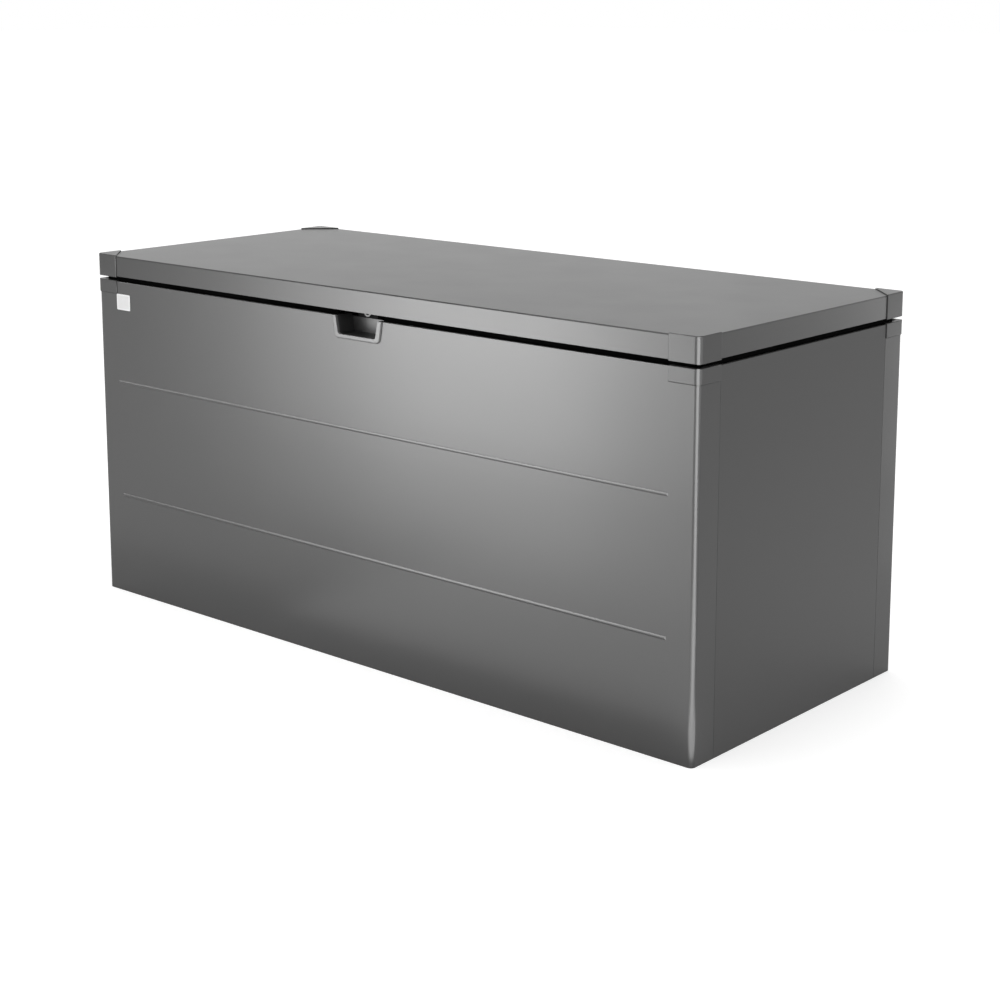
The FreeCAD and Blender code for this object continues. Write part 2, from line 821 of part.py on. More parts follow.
def turn_and_place(solid, axis, degrees, x, y, z):
    """Turns a solid about its own origin and ties its place to the sizes."""
    solid.Placement = FreeCAD.Placement(FreeCAD.Vector(0, 0, 0), FreeCAD.Rotation(axis, degrees))
    for letter, number in (("x", x), ("y", y), ("z", z)):
        solid.setExpression("Placement.Base." + letter, as_size(number).text)


def group(name, solids):
    """Identical pieces that share a node."""
    compound = doc.addObject("Part::Compound", name)
    compound.Label = name
    compound.Links = solids
    return compound


X_AXIS = FreeCAD.Vector(1, 0, 0)
Y_AXIS = FreeCAD.Vector(0, 1, 0)


def hinge_leaves(name, up):
    """The three leaves of one side of the hinges."""
    leaves = []
    for number, place in enumerate(hinge_places(), start=1):
        leaves.append(hinge_leaf("%s_%d" % (name, number), place, up))
    return group(name, leaves)


def hinge_pins():
    """Three pins through the hinge barrels."""
    pins = []
    for number, place in enumerate(hinge_places(), start=1):
        pin = cylinder("hinge_pin_%d" % number, size("PinRadius"), size("HingeLength"))
        turn_and_place(pin, Y_AXIS, 90, place - size("HingeLength") / 2, hinge_y, hinge_z)
        pins.append(pin)
    return group("hinge_pins", pins)


def hexagon(name, radius, height):
    """A plain hexagonal nut or screw head, standing at its own origin."""
    solid = doc.addObject("Part::Prism", name)
    solid.Polygon = 6
    solid.setExpression("Circumradius", as_size(radius).text)
    solid.setExpression("Height", as_size(height).text)
    return solid


def fastener(name, length):
    """A screw with its hexagon head below the origin and its shank above."""
    head = hexagon(name + "_head", size("ScrewHeadRadius"), size("ScrewHeadHeight"))
    head.setExpression("Placement.Base.z", (-size("ScrewHeadHeight")).text)
    shank = cylinder(name + "_shank", size("ScrewRadius"), length)
    fuse = doc.addObject("Part::Fuse", name)
    fuse.Base = head
    fuse.Tool = shank
    return fuse


def lid_panel():
    """Lid sheet: flat top, rim, hem under front and sides, bevelled inside the corner caps."""
    piece = Piece("lid_panel")
    skin = piece.sketch("XY_Plane", lid_bottom)
    bevel_rectangle(skin, half_length, half_depth, corner)
    piece.pad(skin, lid_top - lid_bottom)
    top = lid_top.value
    piece.fillet(size("LidBend"), lambda edge: near(edge.BoundBox.ZMin, top))
    room = piece.sketch("XY_Plane", lid_bottom + wall)
    bevel_rectangle(room, half_length - wall, half_depth - wall, corner - wall)
    piece.pocket(room, lid_top - lid_bottom - wall * 2, backwards=True)
    hem = size("LidHem")
    mouth = piece.sketch("XY_Plane", lid_bottom)
    reach_x = half_length - hem
    polygon(mouth, [
        (-reach_x, hem - half_depth),
        (reach_x, hem - half_depth),
        (reach_x, half_depth - wall),
        (-reach_x, half_depth - wall),
    ])
    piece.pocket(mouth, wall * 2, backwards=True)
    return piece.body


rail_low = under_lid - size("RailHeight")


def hat(sketch, middle, half, foot):
    """Hat section hung from the underside of the lid sheet."""
    thick = size("RailWall")
    polygon(sketch, [
        (middle - half - foot, under_lid),
        (middle - half - foot, under_lid - thick),
        (middle - half, under_lid - thick),
        (middle - half, rail_low),
        (middle + half, rail_low),
        (middle + half, under_lid - thick),
        (middle + half + foot, under_lid - thick),
        (middle + half + foot, under_lid),
        (middle + half - thick, under_lid),
        (middle + half - thick, rail_low + thick),
        (middle - half + thick, rail_low + thick),
        (middle - half + thick, under_lid),
    ])


def rail_middle():
    """Distance of each long rail's middle from the box's middle."""
    return half_depth - size("RailInset") - size("RailWidth") / 2


def lid_rail(name, side):
    """Long hat rail under the front or rear of the lid."""
    piece = Piece(name)
    end = half_length - size("RailEndInset")
    section = piece.sketch("YZ_Plane", -end)
    hat(section, rail_middle() * side, size("RailWidth") / 2, size("RailFoot"))
    piece.pad(section, end * 2)
    if side < 0:
        for step in (-1, 1):
            hole = piece.sketch("XY_Plane", rail_low - PAST)
            circle(hole, lock_screw_x() * step, lock_middle_y(), size("ScrewRadius") + size("ScrewClearance"))
            piece.pocket(hole, size("RailWall") + PAST * 2, backwards=True)
    return piece.body


def lid_rib(name, place):
    """Cross rib between the two long rails."""
    piece = Piece(name)
    reach = rail_middle() - size("RailWidth") / 2 - size("RailFoot") - size("RibGap")
    section = piece.sketch("XZ_Plane", -reach)
    hat(section, place, size("RailWidth") / 2, size("RailFoot"))
    piece.pad(section, reach * 2)
    return piece.body


def lid_buffers():
    """Rubber stops under the ends of the long rails, just above the body's top flange."""
    stops = []
    low = body_height + size("BufferGap")
    seal_edge = half_depth - size("SealInset") - size("SealFoot")
    place_x = half_length - size("BufferEndInset")
    place_y = seal_edge - size("BufferRadius") - size("BufferGap")
    for side_x in (-1, 1):
        for side_y in (-1, 1):
            label = "lid_buffer_%d" % (len(stops) + 1)
            stop = cylinder(label, size("BufferRadius"), rail_low - low)
            turn_and_place(stop, X_AXIS, 0, place_x * side_x, place_y * side_y, low)
            stops.append(stop)
    return group("lid_buffers", stops)


lock_z = body_height + size("LockAxisRise")
lock_front = half_depth - size("LockFrontInset")
lock_rear = lock_front - size("LockDepth")


def lock_middle_y():
    """Middle of the lock housing from front to rear."""
    return -(lock_front + lock_rear) / 2


def lock_screw_x():
    """Distance of each lock screw from the box's middle plane."""
    return size("LockWidth") / 2 - size("ScrewHeadRadius") * 2


def lock_housing():
    """Housing hung under the front rail, with a round mouth for the key plug."""
    piece = Piece("lock_housing")
    half = size("LockWidth") / 2
    low = lock_z - size("LockDrop")
    block = piece.sketch("XZ_Plane", lock_rear)
    rectangle(block, -half, low, half, rail_low)
    piece.pad(block, size("LockDepth"))
    piece.chamfer(size("LockBevel"), lambda edge: along_y(edge, low.value))
    mouth = piece.sketch("XZ_Plane", lock_front + PAST)
    circle(mouth, 0, lock_z, size("PlugRadius") + size("PlugClearance"))
    piece.pocket(mouth, size("LockDepth") + PAST * 2)
    for step in (-1, 1):
        hole = piece.sketch("XY_Plane", rail_low + PAST)
        circle(hole, lock_screw_x() * step, lock_middle_y(), size("ScrewRadius") + size("ScrewClearance"))
        piece.pocket(hole, size("ScrewBite") + PAST * 2)
    return piece.body


def lock_ring():
    """Bright ring round the key plug, on the front of the housing."""
    piece = Piece("lock_ring")
    disc = piece.sketch("XZ_Plane", lock_front)
    circle(disc, 0, lock_z, size("LockRingRadius"))
    piece.pad(disc, size("LockRingProud"))
    mouth = piece.sketch("XZ_Plane", lock_front + size("LockRingProud") + PAST)
    circle(mouth, 0, lock_z, size("PlugRadius") + size("PlugClearance"))
    piece.pocket(mouth, size("LockRingProud") + PAST * 2)
    return piece.body


def lock_plug():
    """Key plug with its key slot, through ring and housing to the cam."""
    piece = Piece("lock_plug")
    rod = piece.sketch("XZ_Plane", lock_rear - size("CamGap"))
    circle(rod, 0, lock_z, size("PlugRadius"))
    piece.pad(rod, size("LockDepth") + size("LockRingProud") + size("CamGap"))
    slot = piece.sketch("XZ_Plane", lock_front + size("LockRingProud"))
    half_width = size("KeyWidth") / 2
    half_height = size("KeyLength") / 2
    rectangle(slot, -half_width, lock_z - half_height, half_width, lock_z + half_height)
    piece.pocket(slot, size("KeyDepth"))
    return piece.body


def lock_cam():
    """Flat cam behind the housing, hanging down while the lock is open."""
    piece = Piece("lock_cam")
    half = size("CamWidth") / 2
    arm = piece.sketch("XZ_Plane", lock_rear - size("CamGap") - size("CamThickness"))
    rectangle(arm, -half, lock_z - size("CamLength"), half, lock_z)
    piece.pad(arm, size("CamThickness"))
    tip = (lock_z - size("CamLength")).value
    piece.fillet(size("CamTipRadius"), lambda edge: along_y(edge, tip))
    hub = piece.sketch("XZ_Plane", lock_rear - size("CamGap") - size("CamThickness"))
    circle(hub, 0, lock_z, size("PlugRadius"))
    piece.pad(hub, size("CamThickness"))
    return piece.body


def strike_bracket():
    """Bracket on the back of the grip cup, with a shelf that the turned cam slides under."""
    piece = Piece("strike_bracket")
    thick = size("StrikeWall")
    cup_back = half_depth - size("GripDepth") - grip_wall
    cam_back = lock_rear - size("CamGap") * 2 - size("CamThickness")
    half = size("StrikeHalf")
    leg_in = size("CamLength") + size("StrikeSideGap")
    leg_out = leg_in + thick
    shelf_low = lock_z + size("CamWidth") / 2 + size("StrikeClearance")
    low = strike_middle_z() - size("StrikePlateHeight") / 2
    plate = piece.sketch("XZ_Plane", cup_back - thick)
    rectangle(plate, -half, low, leg_out, low + size("StrikePlateHeight"))
    piece.pad(plate, thick)
    leg = piece.sketch("XZ_Plane", cam_back)
    rectangle(leg, leg_in, low, leg_out, shelf_low + thick)
    piece.pad(leg, cup_back - cam_back - size("GripClearance"))
    shelf = piece.sketch("XZ_Plane", cam_back)
    rectangle(shelf, half / 2, shelf_low, leg_out, shelf_low + thick)
    piece.pad(shelf, lock_rear - cam_back - size("CamGap"))
    return piece.body


def strike_middle_z():
    """Middle height of the strike's plate, on the back wall of the grip cup."""
    return grip_floor + (size("GripHeight") - size("GripRearDrop")) / 2


spring_x = half_length - size("TopFlangeEnds") - size("SpringClearance") - size("SpringTubeRadius")
spring_y = half_depth - size("SpringBodyInset")
spring_z = body_height - size("SpringBodyDrop")
spring_lid_y = half_depth - size("SpringLidInset")
spring_lid_z = lid_top - size("SpringLidDrop")
bracket_wall = size("SpringBracketWall")
bracket_plane = spring_x + size("SpringTubeRadius") + size("TubeClearance")
stud_shoulder = bracket_plane - spring_x - size("EyeThickness") / 2
tube_start = size("EyeRadius") + size("SpringNeck")
bore_start = tube_start + size("TubeEndWall")


def spring_line():
    """Closed length of a gas spring, and its lean from upright towards the front."""
    run = spring_lid_y.value - spring_y.value
    rise = spring_lid_z.value - spring_z.value
    text = "sqrt((%s - %s)^2 + (%s - %s)^2)" % (
        spring_lid_y.text, spring_y.text, spring_lid_z.text, spring_z.text)
    return Size(math.hypot(run, rise), text), math.degrees(math.atan2(-run, rise))


def stand_spring(piece, side, y, z):
    """Leans a piece that is drawn upright at the origin into the spring's line."""
    lean = spring_line()[1]
    piece.Placement = FreeCAD.Placement(FreeCAD.Vector(0, 0, 0), FreeCAD.Rotation(X_AXIS, lean))
    piece.setExpression("Placement.Base.x", (spring_x * side).text)
    piece.setExpression("Placement.Base.y", y.text)
    piece.setExpression("Placement.Base.z", z.text)
    return piece


def gas_tube(name, side):
    """Pressure tube with its lower eye on a square neck, and the bore that the rod slides in."""
    piece = Piece(name)
    length = size("SpringTubeLength")
    half_neck = size("SpringRodRadius")
    neck = piece.sketch("XY_Plane", 0)
    rectangle(neck, -half_neck, -half_neck, half_neck, half_neck)
    piece.pad(neck, tube_start + PAST)
    tube = piece.sketch("XY_Plane", tube_start)
    circle(tube, 0, 0, size("SpringTubeRadius"))
    piece.pad(tube, length)
    bore = piece.sketch("XY_Plane", tube_start + length)
    circle(bore, 0, 0, size("SpringRodRadius") + size("RodClearance"))
    piece.pocket(bore, length - size("TubeEndWall"))
    half = size("EyeThickness") / 2
    ring = piece.sketch("YZ_Plane", -half)
    circle(ring, 0, 0, size("EyeRadius"))
    piece.pad(ring, size("EyeThickness"))
    hole = piece.sketch("YZ_Plane", -half - PAST)
    circle(hole, 0, 0, size("StudRadius") + size("RodClearance"))
    piece.pocket(hole, size("EyeThickness") + PAST * 2, backwards=True)
    return stand_spring(piece.body, side, spring_y, spring_z)


def gas_rod(name, side):
    """Piston rod with its end fitting, whose hexagon pin reaches to the lid's bracket."""
    piece = Piece(name)
    closed = spring_line()[0]
    start = bore_start + size("RodEndGap")
    rod = piece.sketch("XY_Plane", start)
    circle(rod, 0, 0, size("SpringRodRadius"))
    piece.pad(rod, closed - start)
    half = size("EyeThickness") / 2
    fitting = piece.sketch("YZ_Plane", -half)
    circle(fitting, 0, closed, size("EyeRadius"))
    piece.pad(fitting, size("EyeThickness"))
    pin = piece.sketch("YZ_Plane", half * side)
    hexagon_outline(pin, 0, closed, size("StudFlangeRadius"))
    piece.pad(pin, stud_shoulder - size("StudGap"), backwards=side < 0)
    return stand_spring(piece.body, side, spring_y, spring_z)


def lower_studs():
    """Studs on the lower brackets, with hexagon shoulders, through the eyes of the tubes."""
    studs = []
    reach = size("EyeThickness") + stud_shoulder + size("StudReach")
    for side in (-1, 1):
        label = "gas_stud_%d" % (len(studs) + 1)
        shank = cylinder(label + "_shank", size("StudRadius"), reach)
        flange = hexagon(label + "_flange", size("StudFlangeRadius"), stud_shoulder - size("StudGap"))
        fuse = doc.addObject("Part::Fuse", label)
        fuse.Base = shank
        fuse.Tool = flange
        fuse.Refine = True
        turn_and_place(fuse, Y_AXIS, -90 * side, bracket_plane * side, spring_y, spring_z)
        studs.append(fuse)
    return group("gas_studs_lower", studs)


def bracket_screw_places():
    """Places of the lower bracket's screws on the side sheet, from front to rear and up."""
    reach = size("SpringBracketWidth") / 2 + size("SpringBracketFoot") / 2
    return [(spring_y - reach, spring_z), (spring_y + reach, spring_z)]


def gas_bracket_lower(name, side):
    """Hat-shaped bracket on the side sheet that holds the tube's stud inboard."""
    piece = Piece(name)
    plate = bracket_plane
    sheet_face = half_length - wall
    half = size("SpringBracketWidth") / 2
    foot = size("SpringBracketFoot")
    section = piece.sketch("XY_Plane", spring_z - size("SpringBracketHeight") / 2)
    polygon(section, [
        (sheet_face * side, spring_y - half - foot),
        (sheet_face * side, spring_y - half + bracket_wall),
        ((plate + bracket_wall) * side, spring_y - half + bracket_wall),
        ((plate + bracket_wall) * side, spring_y + half - bracket_wall),
        (sheet_face * side, spring_y + half - bracket_wall),
        (sheet_face * side, spring_y + half + foot),
        ((sheet_face - bracket_wall) * side, spring_y + half + foot),
        ((sheet_face - bracket_wall) * side, spring_y + half),
        (plate * side, spring_y + half),
        (plate * side, spring_y - half),
        ((sheet_face - bracket_wall) * side, spring_y - half),
        ((sheet_face - bracket_wall) * side, spring_y - half - foot),
    ])
    piece.pad(section, size("SpringBracketHeight"))
    for y, z in bracket_screw_places():
        hole = piece.sketch("YZ_Plane", (sheet_face + PAST) * side)
        circle(hole, y, z, size("ScrewRadius") + size("ScrewClearance"))
        piece.pocket(hole, bracket_wall + PAST * 2, backwards=side < 0)
    return piece.body


def bracket_screws():
    """Screws through the feet of the lower brackets, up to the side sheets."""
    screws = []
    for side in (-1, 1):
        for y, z in bracket_screw_places():
            label = "bracket_screw_%d" % (len(screws) + 1)
            screw = fastener(label, bracket_wall)
            face = (half_length - wall - bracket_wall) * side
            turn_and_place(screw, Y_AXIS, 90 * side, face, y, z)
            screws.append(screw)
    return group("bracket_screws", screws)


def gas_bracket_upper(name, side):
    """Angle bracket under the lid sheet, beside the stud of the spring's rod."""
    piece = Piece(name)
    inner = bracket_plane
    half = size("SpringBracketWidth") / 2
    low = spring_lid_z - size("StudFlangeRadius") - size("SpringBracketBelow")
    plate = piece.sketch("YZ_Plane", inner * side)
    rectangle(plate, spring_lid_y - half, low, spring_lid_y + half, under_lid)
    piece.pad(plate, bracket_wall, backwards=side < 0)
    foot = piece.sketch("XY_Plane", under_lid - bracket_wall)
    rectangle(foot, inner * side, spring_lid_y - half,
              (inner + bracket_wall + size("SpringBracketFoot")) * side, spring_lid_y + half)
    piece.pad(foot, bracket_wall)
    corner_cut = size("SpringBracketCorner")
    piece.chamfer(corner_cut, lambda edge: near(edge.BoundBox.ZMin, low.value) and across_x(edge))
    return piece.body


def across_x(edge):
    """True for a short edge that runs along the box's long side."""
    box = edge.BoundBox
    return near(box.YMin, box.YMax) and near(box.ZMin, box.ZMax) and box.XMax - box.XMin > 1


def lock_screws():
    """Screws down through the front rail into the lock housing."""
    screws = []
    for step in (-1, 1):
        label = "lock_screw_%d" % (len(screws) + 1)
        screw = fastener(label, size("RailWall") + size("ScrewBite"))
        turn_and_place(screw, X_AXIS, 180, lock_screw_x() * step, lock_middle_y(),
                       rail_low + size("RailWall"))
        screws.append(screw)
    return group("lock_screws", screws)


CORNERS = {
    "front_left": (-1, -1),
    "front_right": (1, -1),
    "rear_left": (-1, 1),
    "rear_right": (1, 1),
}
SIDES = {"left": -1, "right": 1}
RIBS = {"left": -1, "middle": 0, "right": 1}

nodes = [
    front_panel(),
    rear_panel(),
    floor_bearer(),
    grip_cup(),
    rim_seal(),
    strike_bracket(),
    hinge_leaves("hinge_body_leaves", -1),
    hinge_leaves("hinge_lid_leaves", 1),
    hinge_pins(),
    lower_studs(),
    bracket_screws(),
    lid_panel(),
    lid_rail("lid_rail_front", -1),
    lid_rail("lid_rail_rear", 1),
    lid_buffers(),
    lock_housing(),
    lock_ring(),
    lock_plug(),
    lock_cam(),
    lock_screws(),
]
for word, step in RIBS.items():
    nodes.append(lid_rib("lid_rib_" + word, size("RibSpacing") * step))
for word, side in SIDES.items():
    nodes.append(side_panel("side_panel_" + word, side))
    nodes.append(floor_pan("floor_pan_" + word, side))
    nodes.append(gas_bracket_lower("gas_bracket_lower_" + word, side))
    nodes.append(gas_bracket_upper("gas_bracket_upper_" + word, side))
    nodes.append(gas_tube("gas_tube_" + word, side))
    nodes.append(gas_rod("gas_rod_" + word, side))
for word, (side_x, side_y) in CORNERS.items():
    nodes.append(body_cap("body_cap_" + word, side_x, side_y))
    nodes.append(lid_cap("lid_cap_" + word, side_x, side_y))

doc.recompute()
for item in doc.Objects:
    if "Invalid" in item.State or "Error" in item.State:
        raise RuntimeError("object failed: " + item.Name)
for node in nodes:
    if node.Shape.isNull() or not node.Shape.isValid():
        raise RuntimeError("bad shape: " + node.Label)

os.makedirs("parts", exist_ok=True)
for node in nodes:
    node.Shape.exportStep("parts/%s.step" % node.Label)
print("wrote %d nodes" % len(nodes))
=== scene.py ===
import json
import math

import bmesh
import bpy
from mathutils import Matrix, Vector

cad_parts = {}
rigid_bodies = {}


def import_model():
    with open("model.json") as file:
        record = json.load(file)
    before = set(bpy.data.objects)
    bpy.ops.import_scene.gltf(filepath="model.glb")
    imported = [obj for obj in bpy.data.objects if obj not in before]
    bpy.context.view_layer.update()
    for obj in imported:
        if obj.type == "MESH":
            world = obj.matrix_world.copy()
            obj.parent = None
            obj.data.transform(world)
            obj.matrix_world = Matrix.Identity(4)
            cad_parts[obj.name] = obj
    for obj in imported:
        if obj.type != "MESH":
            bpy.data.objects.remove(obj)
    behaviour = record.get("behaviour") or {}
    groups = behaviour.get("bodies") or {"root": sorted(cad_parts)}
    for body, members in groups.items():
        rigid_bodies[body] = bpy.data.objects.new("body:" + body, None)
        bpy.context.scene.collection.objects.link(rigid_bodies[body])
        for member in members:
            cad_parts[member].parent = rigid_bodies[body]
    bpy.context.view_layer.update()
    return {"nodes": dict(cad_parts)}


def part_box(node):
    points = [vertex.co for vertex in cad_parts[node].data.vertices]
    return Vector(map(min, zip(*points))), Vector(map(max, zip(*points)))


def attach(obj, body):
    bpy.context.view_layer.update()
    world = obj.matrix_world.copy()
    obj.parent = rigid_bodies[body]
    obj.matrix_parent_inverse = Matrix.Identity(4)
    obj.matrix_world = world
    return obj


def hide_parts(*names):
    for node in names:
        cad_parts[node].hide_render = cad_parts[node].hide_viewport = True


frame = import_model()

# Outdoor storage box of folded sheet metal: finishes, small fittings, floor, light and camera.
# Lengths are in metres. X runs along the box, the front faces -Y, and Z is up.

MM = 0.001
WELD_REACH = 0.01 * MM
FLAT_ANGLE = math.radians(0.6)
SHARP_ANGLE = math.radians(50)
CORNER_STEPS = 8


# Places read from the frame

CAP_PROUD = 2 * MM
SHEET_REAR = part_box("rear_panel")[1].y
SHEET_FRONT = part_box("body_cap_front_left")[0].y + CAP_PROUD
SHEET_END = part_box("body_cap_front_right")[1].x - CAP_PROUD
BODY_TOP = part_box("front_panel")[1].z
LID_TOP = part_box("lid_panel")[1].z


# Small mesh builders


def mesh_object(name, mesh_data, body, slot, material):
    """A new object of this mesh that rides on a body and has this material. The slot is not used.
    """
    made = bpy.data.objects.new(name, mesh_data)
    bpy.context.scene.collection.objects.link(made)
    mesh_data.materials.append(material)
    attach(made, body)
    return made


def rounded_outline(half_width, half_height, radius, steps):
    """Points of a rectangle with round corners, anticlockwise, about the origin."""
    points = []
    for corner in range(4):
        side_x = 1 if corner in (0, 3) else -1
        side_y = 1 if corner in (0, 1) else -1
        for step in range(steps + 1):
            angle = math.radians(90 * (corner + step / steps))
            x = side_x * (half_width - radius) + radius * math.cos(angle)
            y = side_y * (half_height - radius) + radius * math.sin(angle)
            points.append((x, y))
    return points


def skin(builder, rings, closed_along=False):
    """Joins rings of vertices into a strip. Its two ends are filled unless it closes on itself."""
    count = len(rings[0])
    pairs = list(zip(rings[:-1], rings[1:]))
    if closed_along:
        pairs.append((rings[-1], rings[0]))
    for ring, following in pairs:
        for point in range(count):
            after = (point + 1) % count
            builder.faces.new((ring[point], following[point], following[after], ring[after]))
    if not closed_along:
        builder.faces.new(rings[0])
        builder.faces.new(rings[-1])
    bmesh.ops.recalc_face_normals(builder, faces=builder.faces)


def turned(builder, centre, axis, profile, steps=24, bored=False):
    """A turned solid: (radius, height) points carried round an axis. A bored one is a ring."""
    turn = Vector(axis).to_track_quat("Z", "Y").to_matrix()
    rings = []
    for radius, height in profile:
        ring = []
        for step in range(steps):
            angle = 2 * math.pi * step / steps
            point = Vector((radius * math.cos(angle), radius * math.sin(angle), height))
            ring.append(builder.verts.new(Vector(centre) + turn @ point))
        rings.append(ring)
    skin(builder, rings, bored)


def finish_mesh(name, builder, smooth_degrees=40):
    """The bmesh as mesh data, smooth except at edges sharper than the angle."""
    data = bpy.data.meshes.new(name)
    builder.to_mesh(data)
    builder.free()
    data.shade_smooth()
    data.set_sharp_from_angle(angle=math.radians(smooth_degrees))
    return data


# Materials


def colour_socket(sockets, name):
    """A Mix node's colour socket of this name."""
    return [entry for entry in sockets if entry.name == name and entry.type == "RGBA"][0]


class Shader:
    """A material's node tree with a Principled shader and short ways to add nodes."""

    def __init__(self, name):
        self.material = bpy.data.materials.new(name)
        self.material.use_nodes = True
        self.tree = self.material.node_tree
        self.surface = self.tree.nodes["Principled BSDF"]
        self.place = self.node("ShaderNodeTexCoord").outputs["Object"]

    def node(self, kind, **settings):
        """A new node of this kind with these settings."""
        made = self.tree.nodes.new(kind)
        for key, value in settings.items():
            setattr(made, key, value)
        return made

    def link(self, source, target):
        """Feeds an output socket into an input socket."""
        self.tree.links.new(source, target)

    def noise(self, scale, detail):
        """Noise in the piece's own space."""
        made = self.node("ShaderNodeTexNoise")
        made.inputs["Scale"].default_value = scale
        made.inputs["Detail"].default_value = detail
        made.inputs["Roughness"].default_value = 0.5
        self.link(self.place, made.inputs["Vector"])
        return made.outputs["Fac"]

    def spread(self, value, low, high, start=0.3, end=0.7):
        """The value between start and end as a number between low and high."""
        made = self.node("ShaderNodeMapRange")
        made.inputs["From Min"].default_value = start
        made.inputs["From Max"].default_value = end
        made.inputs["To Min"].default_value = low
        made.inputs["To Max"].default_value = high
        self.link(value, made.inputs["Value"])
        return made.outputs["Result"]

    def blend(self, value, first, second):
        """The first colour where the value is 0 and the second where it is 1."""
        made = self.node("ShaderNodeMix", data_type="RGBA")
        self.link(value, made.inputs["Factor"])
        for socket, colour in (("A", first), ("B", second)):
            target = colour_socket(made.inputs, socket)
            if isinstance(colour, tuple):
                target.default_value = (*colour, 1.0)
            else:
                self.link(colour, target)
        return colour_socket(made.outputs, "Result")

    def bump(self, value, height, below=None):
        """A normal bent by the value, over another normal if one is given."""
        made = self.node("ShaderNodeBump")
        made.inputs["Distance"].default_value = height
        self.link(value, made.inputs["Height"])
        if below is not None:
            self.link(below, made.inputs["Normal"])
        return made.outputs["Normal"]

    def colour(self, value):
        """Takes the surface's colour from the value."""
        self.link(value, self.surface.inputs["Base Color"])

    def rough(self, value):
        """Takes the surface's roughness from the value."""
        self.link(value, self.surface.inputs["Roughness"])

    def normal(self, value):
        """Takes the surface's normal from the value."""
        self.link(value, self.surface.inputs["Normal"])


def grey(level, warmth=0.0):
    """A neutral grey, a little warmer or cooler."""
    return (level * (1 + warmth), level, level * (1 - warmth))


def painted_sheet(name, level):
    """Satin powder coat: tiny orange peel, faint speckle and a slightly uneven sheet under it."""
    shader = Shader(name)
    speckle = shader.spread(shader.noise(scale=1400, detail=3), 0, 1, start=0.35, end=0.65)
    cloud = shader.spread(shader.noise(scale=5, detail=2), 0, 1)
    fine = shader.blend(speckle, grey(level * 0.94), grey(level * 1.06))
    shader.colour(shader.blend(cloud, fine, grey(level * 1.02, warmth=0.006)))
    shader.rough(shader.spread(shader.noise(scale=9, detail=3), low=0.285, high=0.3))
    sheet = shader.bump(shader.noise(scale=3.2, detail=1), height=0.2 * MM)
    peel = shader.noise(scale=700, detail=2)
    shader.normal(shader.bump(peel, height=0.012 * MM, below=sheet))
    return shader.material


def moulded_plastic(name, level, low, high, gloss=0.5):
    """Grained plastic, with its roughness between low and high."""
    shader = Shader(name)
    shader.surface.inputs["Specular IOR Level"].default_value = gloss
    cloud = shader.spread(shader.noise(scale=40, detail=2), 0, 1)
    shader.colour(shader.blend(cloud, grey(level * 0.95), grey(level * 1.05)))
    shader.rough(shader.spread(shader.noise(scale=120, detail=3), low, high))
    shader.normal(shader.bump(shader.noise(scale=1500, detail=2), height=0.02 * MM))
    return shader.material


def grip_plastic(name, bezel_level, shaded_recess_level):
    """Grained plastic, paler and a little glossier on the bezel, and darker inside the recess as
    painted shade.
    """
    shader = Shader(name)
    split = shader.node("ShaderNodeSeparateXYZ")
    shader.link(shader.place, split.inputs[0])
    # Painted shade: the plastic darkens from the front face back into the recess
    start = SHEET_FRONT + 0.5 * MM
    end = SHEET_FRONT + 4 * MM
    inside = shader.spread(split.outputs["Y"], 0, 1, start, end)
    cloud = shader.spread(shader.noise(scale=60, detail=2), 0, 1)
    bezel = shader.blend(cloud, grey(bezel_level * 0.96), grey(bezel_level * 1.04))
    shader.colour(shader.blend(inside, bezel, grey(shaded_recess_level)))
    shader.rough(shader.spread(inside, low=0.27, high=0.33, start=0, end=1))
    shader.normal(shader.bump(shader.noise(scale=1500, detail=2), height=0.02 * MM))
    return shader.material


def zinc(name, level, low, high):
    """Zinc-plated steel: grey metal with a faint mottle and a roughness between low and high."""
    shader = Shader(name)
    shader.surface.inputs["Metallic"].default_value = 1.0
    patches = shader.spread(shader.noise(scale=220, detail=4), 0, 1)
    dark = grey(level * 0.9, warmth=-0.01)
    pale = grey(level * 1.05, warmth=-0.02)
    shader.colour(shader.blend(patches, dark, pale))
    shader.rough(shader.spread(shader.noise(scale=90, detail=3), low, high))
    shader.normal(shader.bump(shader.noise(scale=900, detail=3), height=0.01 * MM))
    return shader.material


def polished_metal(name, level, roughness):
    """Plated metal with an uneven polish."""
    shader = Shader(name)
    shader.surface.inputs["Metallic"].default_value = 1.0
    mottle = shader.spread(shader.noise(scale=150, detail=2), 0, 1)
    shader.colour(shader.blend(mottle, grey(level * 0.97), grey(level)))
    polish = shader.noise(scale=400, detail=3)
    shader.rough(shader.spread(polish, low=roughness * 0.7, high=roughness * 1.3))
    return shader.material


def soft_rubber(name, level):
    """Dull black rubber with a dusty bloom, darker than the rubber itself as partly painted shade.
    """
    shader = Shader(name)
    bloom = shader.spread(shader.noise(scale=60, detail=4), 0, 1, start=0.4, end=0.75)
    shader.colour(shader.blend(bloom, grey(level), grey(level * 1.7)))
    shader.rough(shader.spread(shader.noise(scale=90, detail=2), low=0.65, high=0.8))
    shader.surface.inputs["Specular IOR Level"].default_value = 0.02
    shader.normal(shader.bump(shader.noise(scale=1100, detail=2), height=0.02 * MM))
    return shader.material


def light_plate(name, level):
    """Pale satin plate."""
    shader = Shader(name)
    cloud = shader.spread(shader.noise(scale=90, detail=3), 0, 1)
    shader.colour(shader.blend(cloud, grey(level * 0.98), grey(level)))
    shader.rough(shader.spread(shader.noise(scale=200, detail=2), low=0.35, high=0.45))
    return shader.material


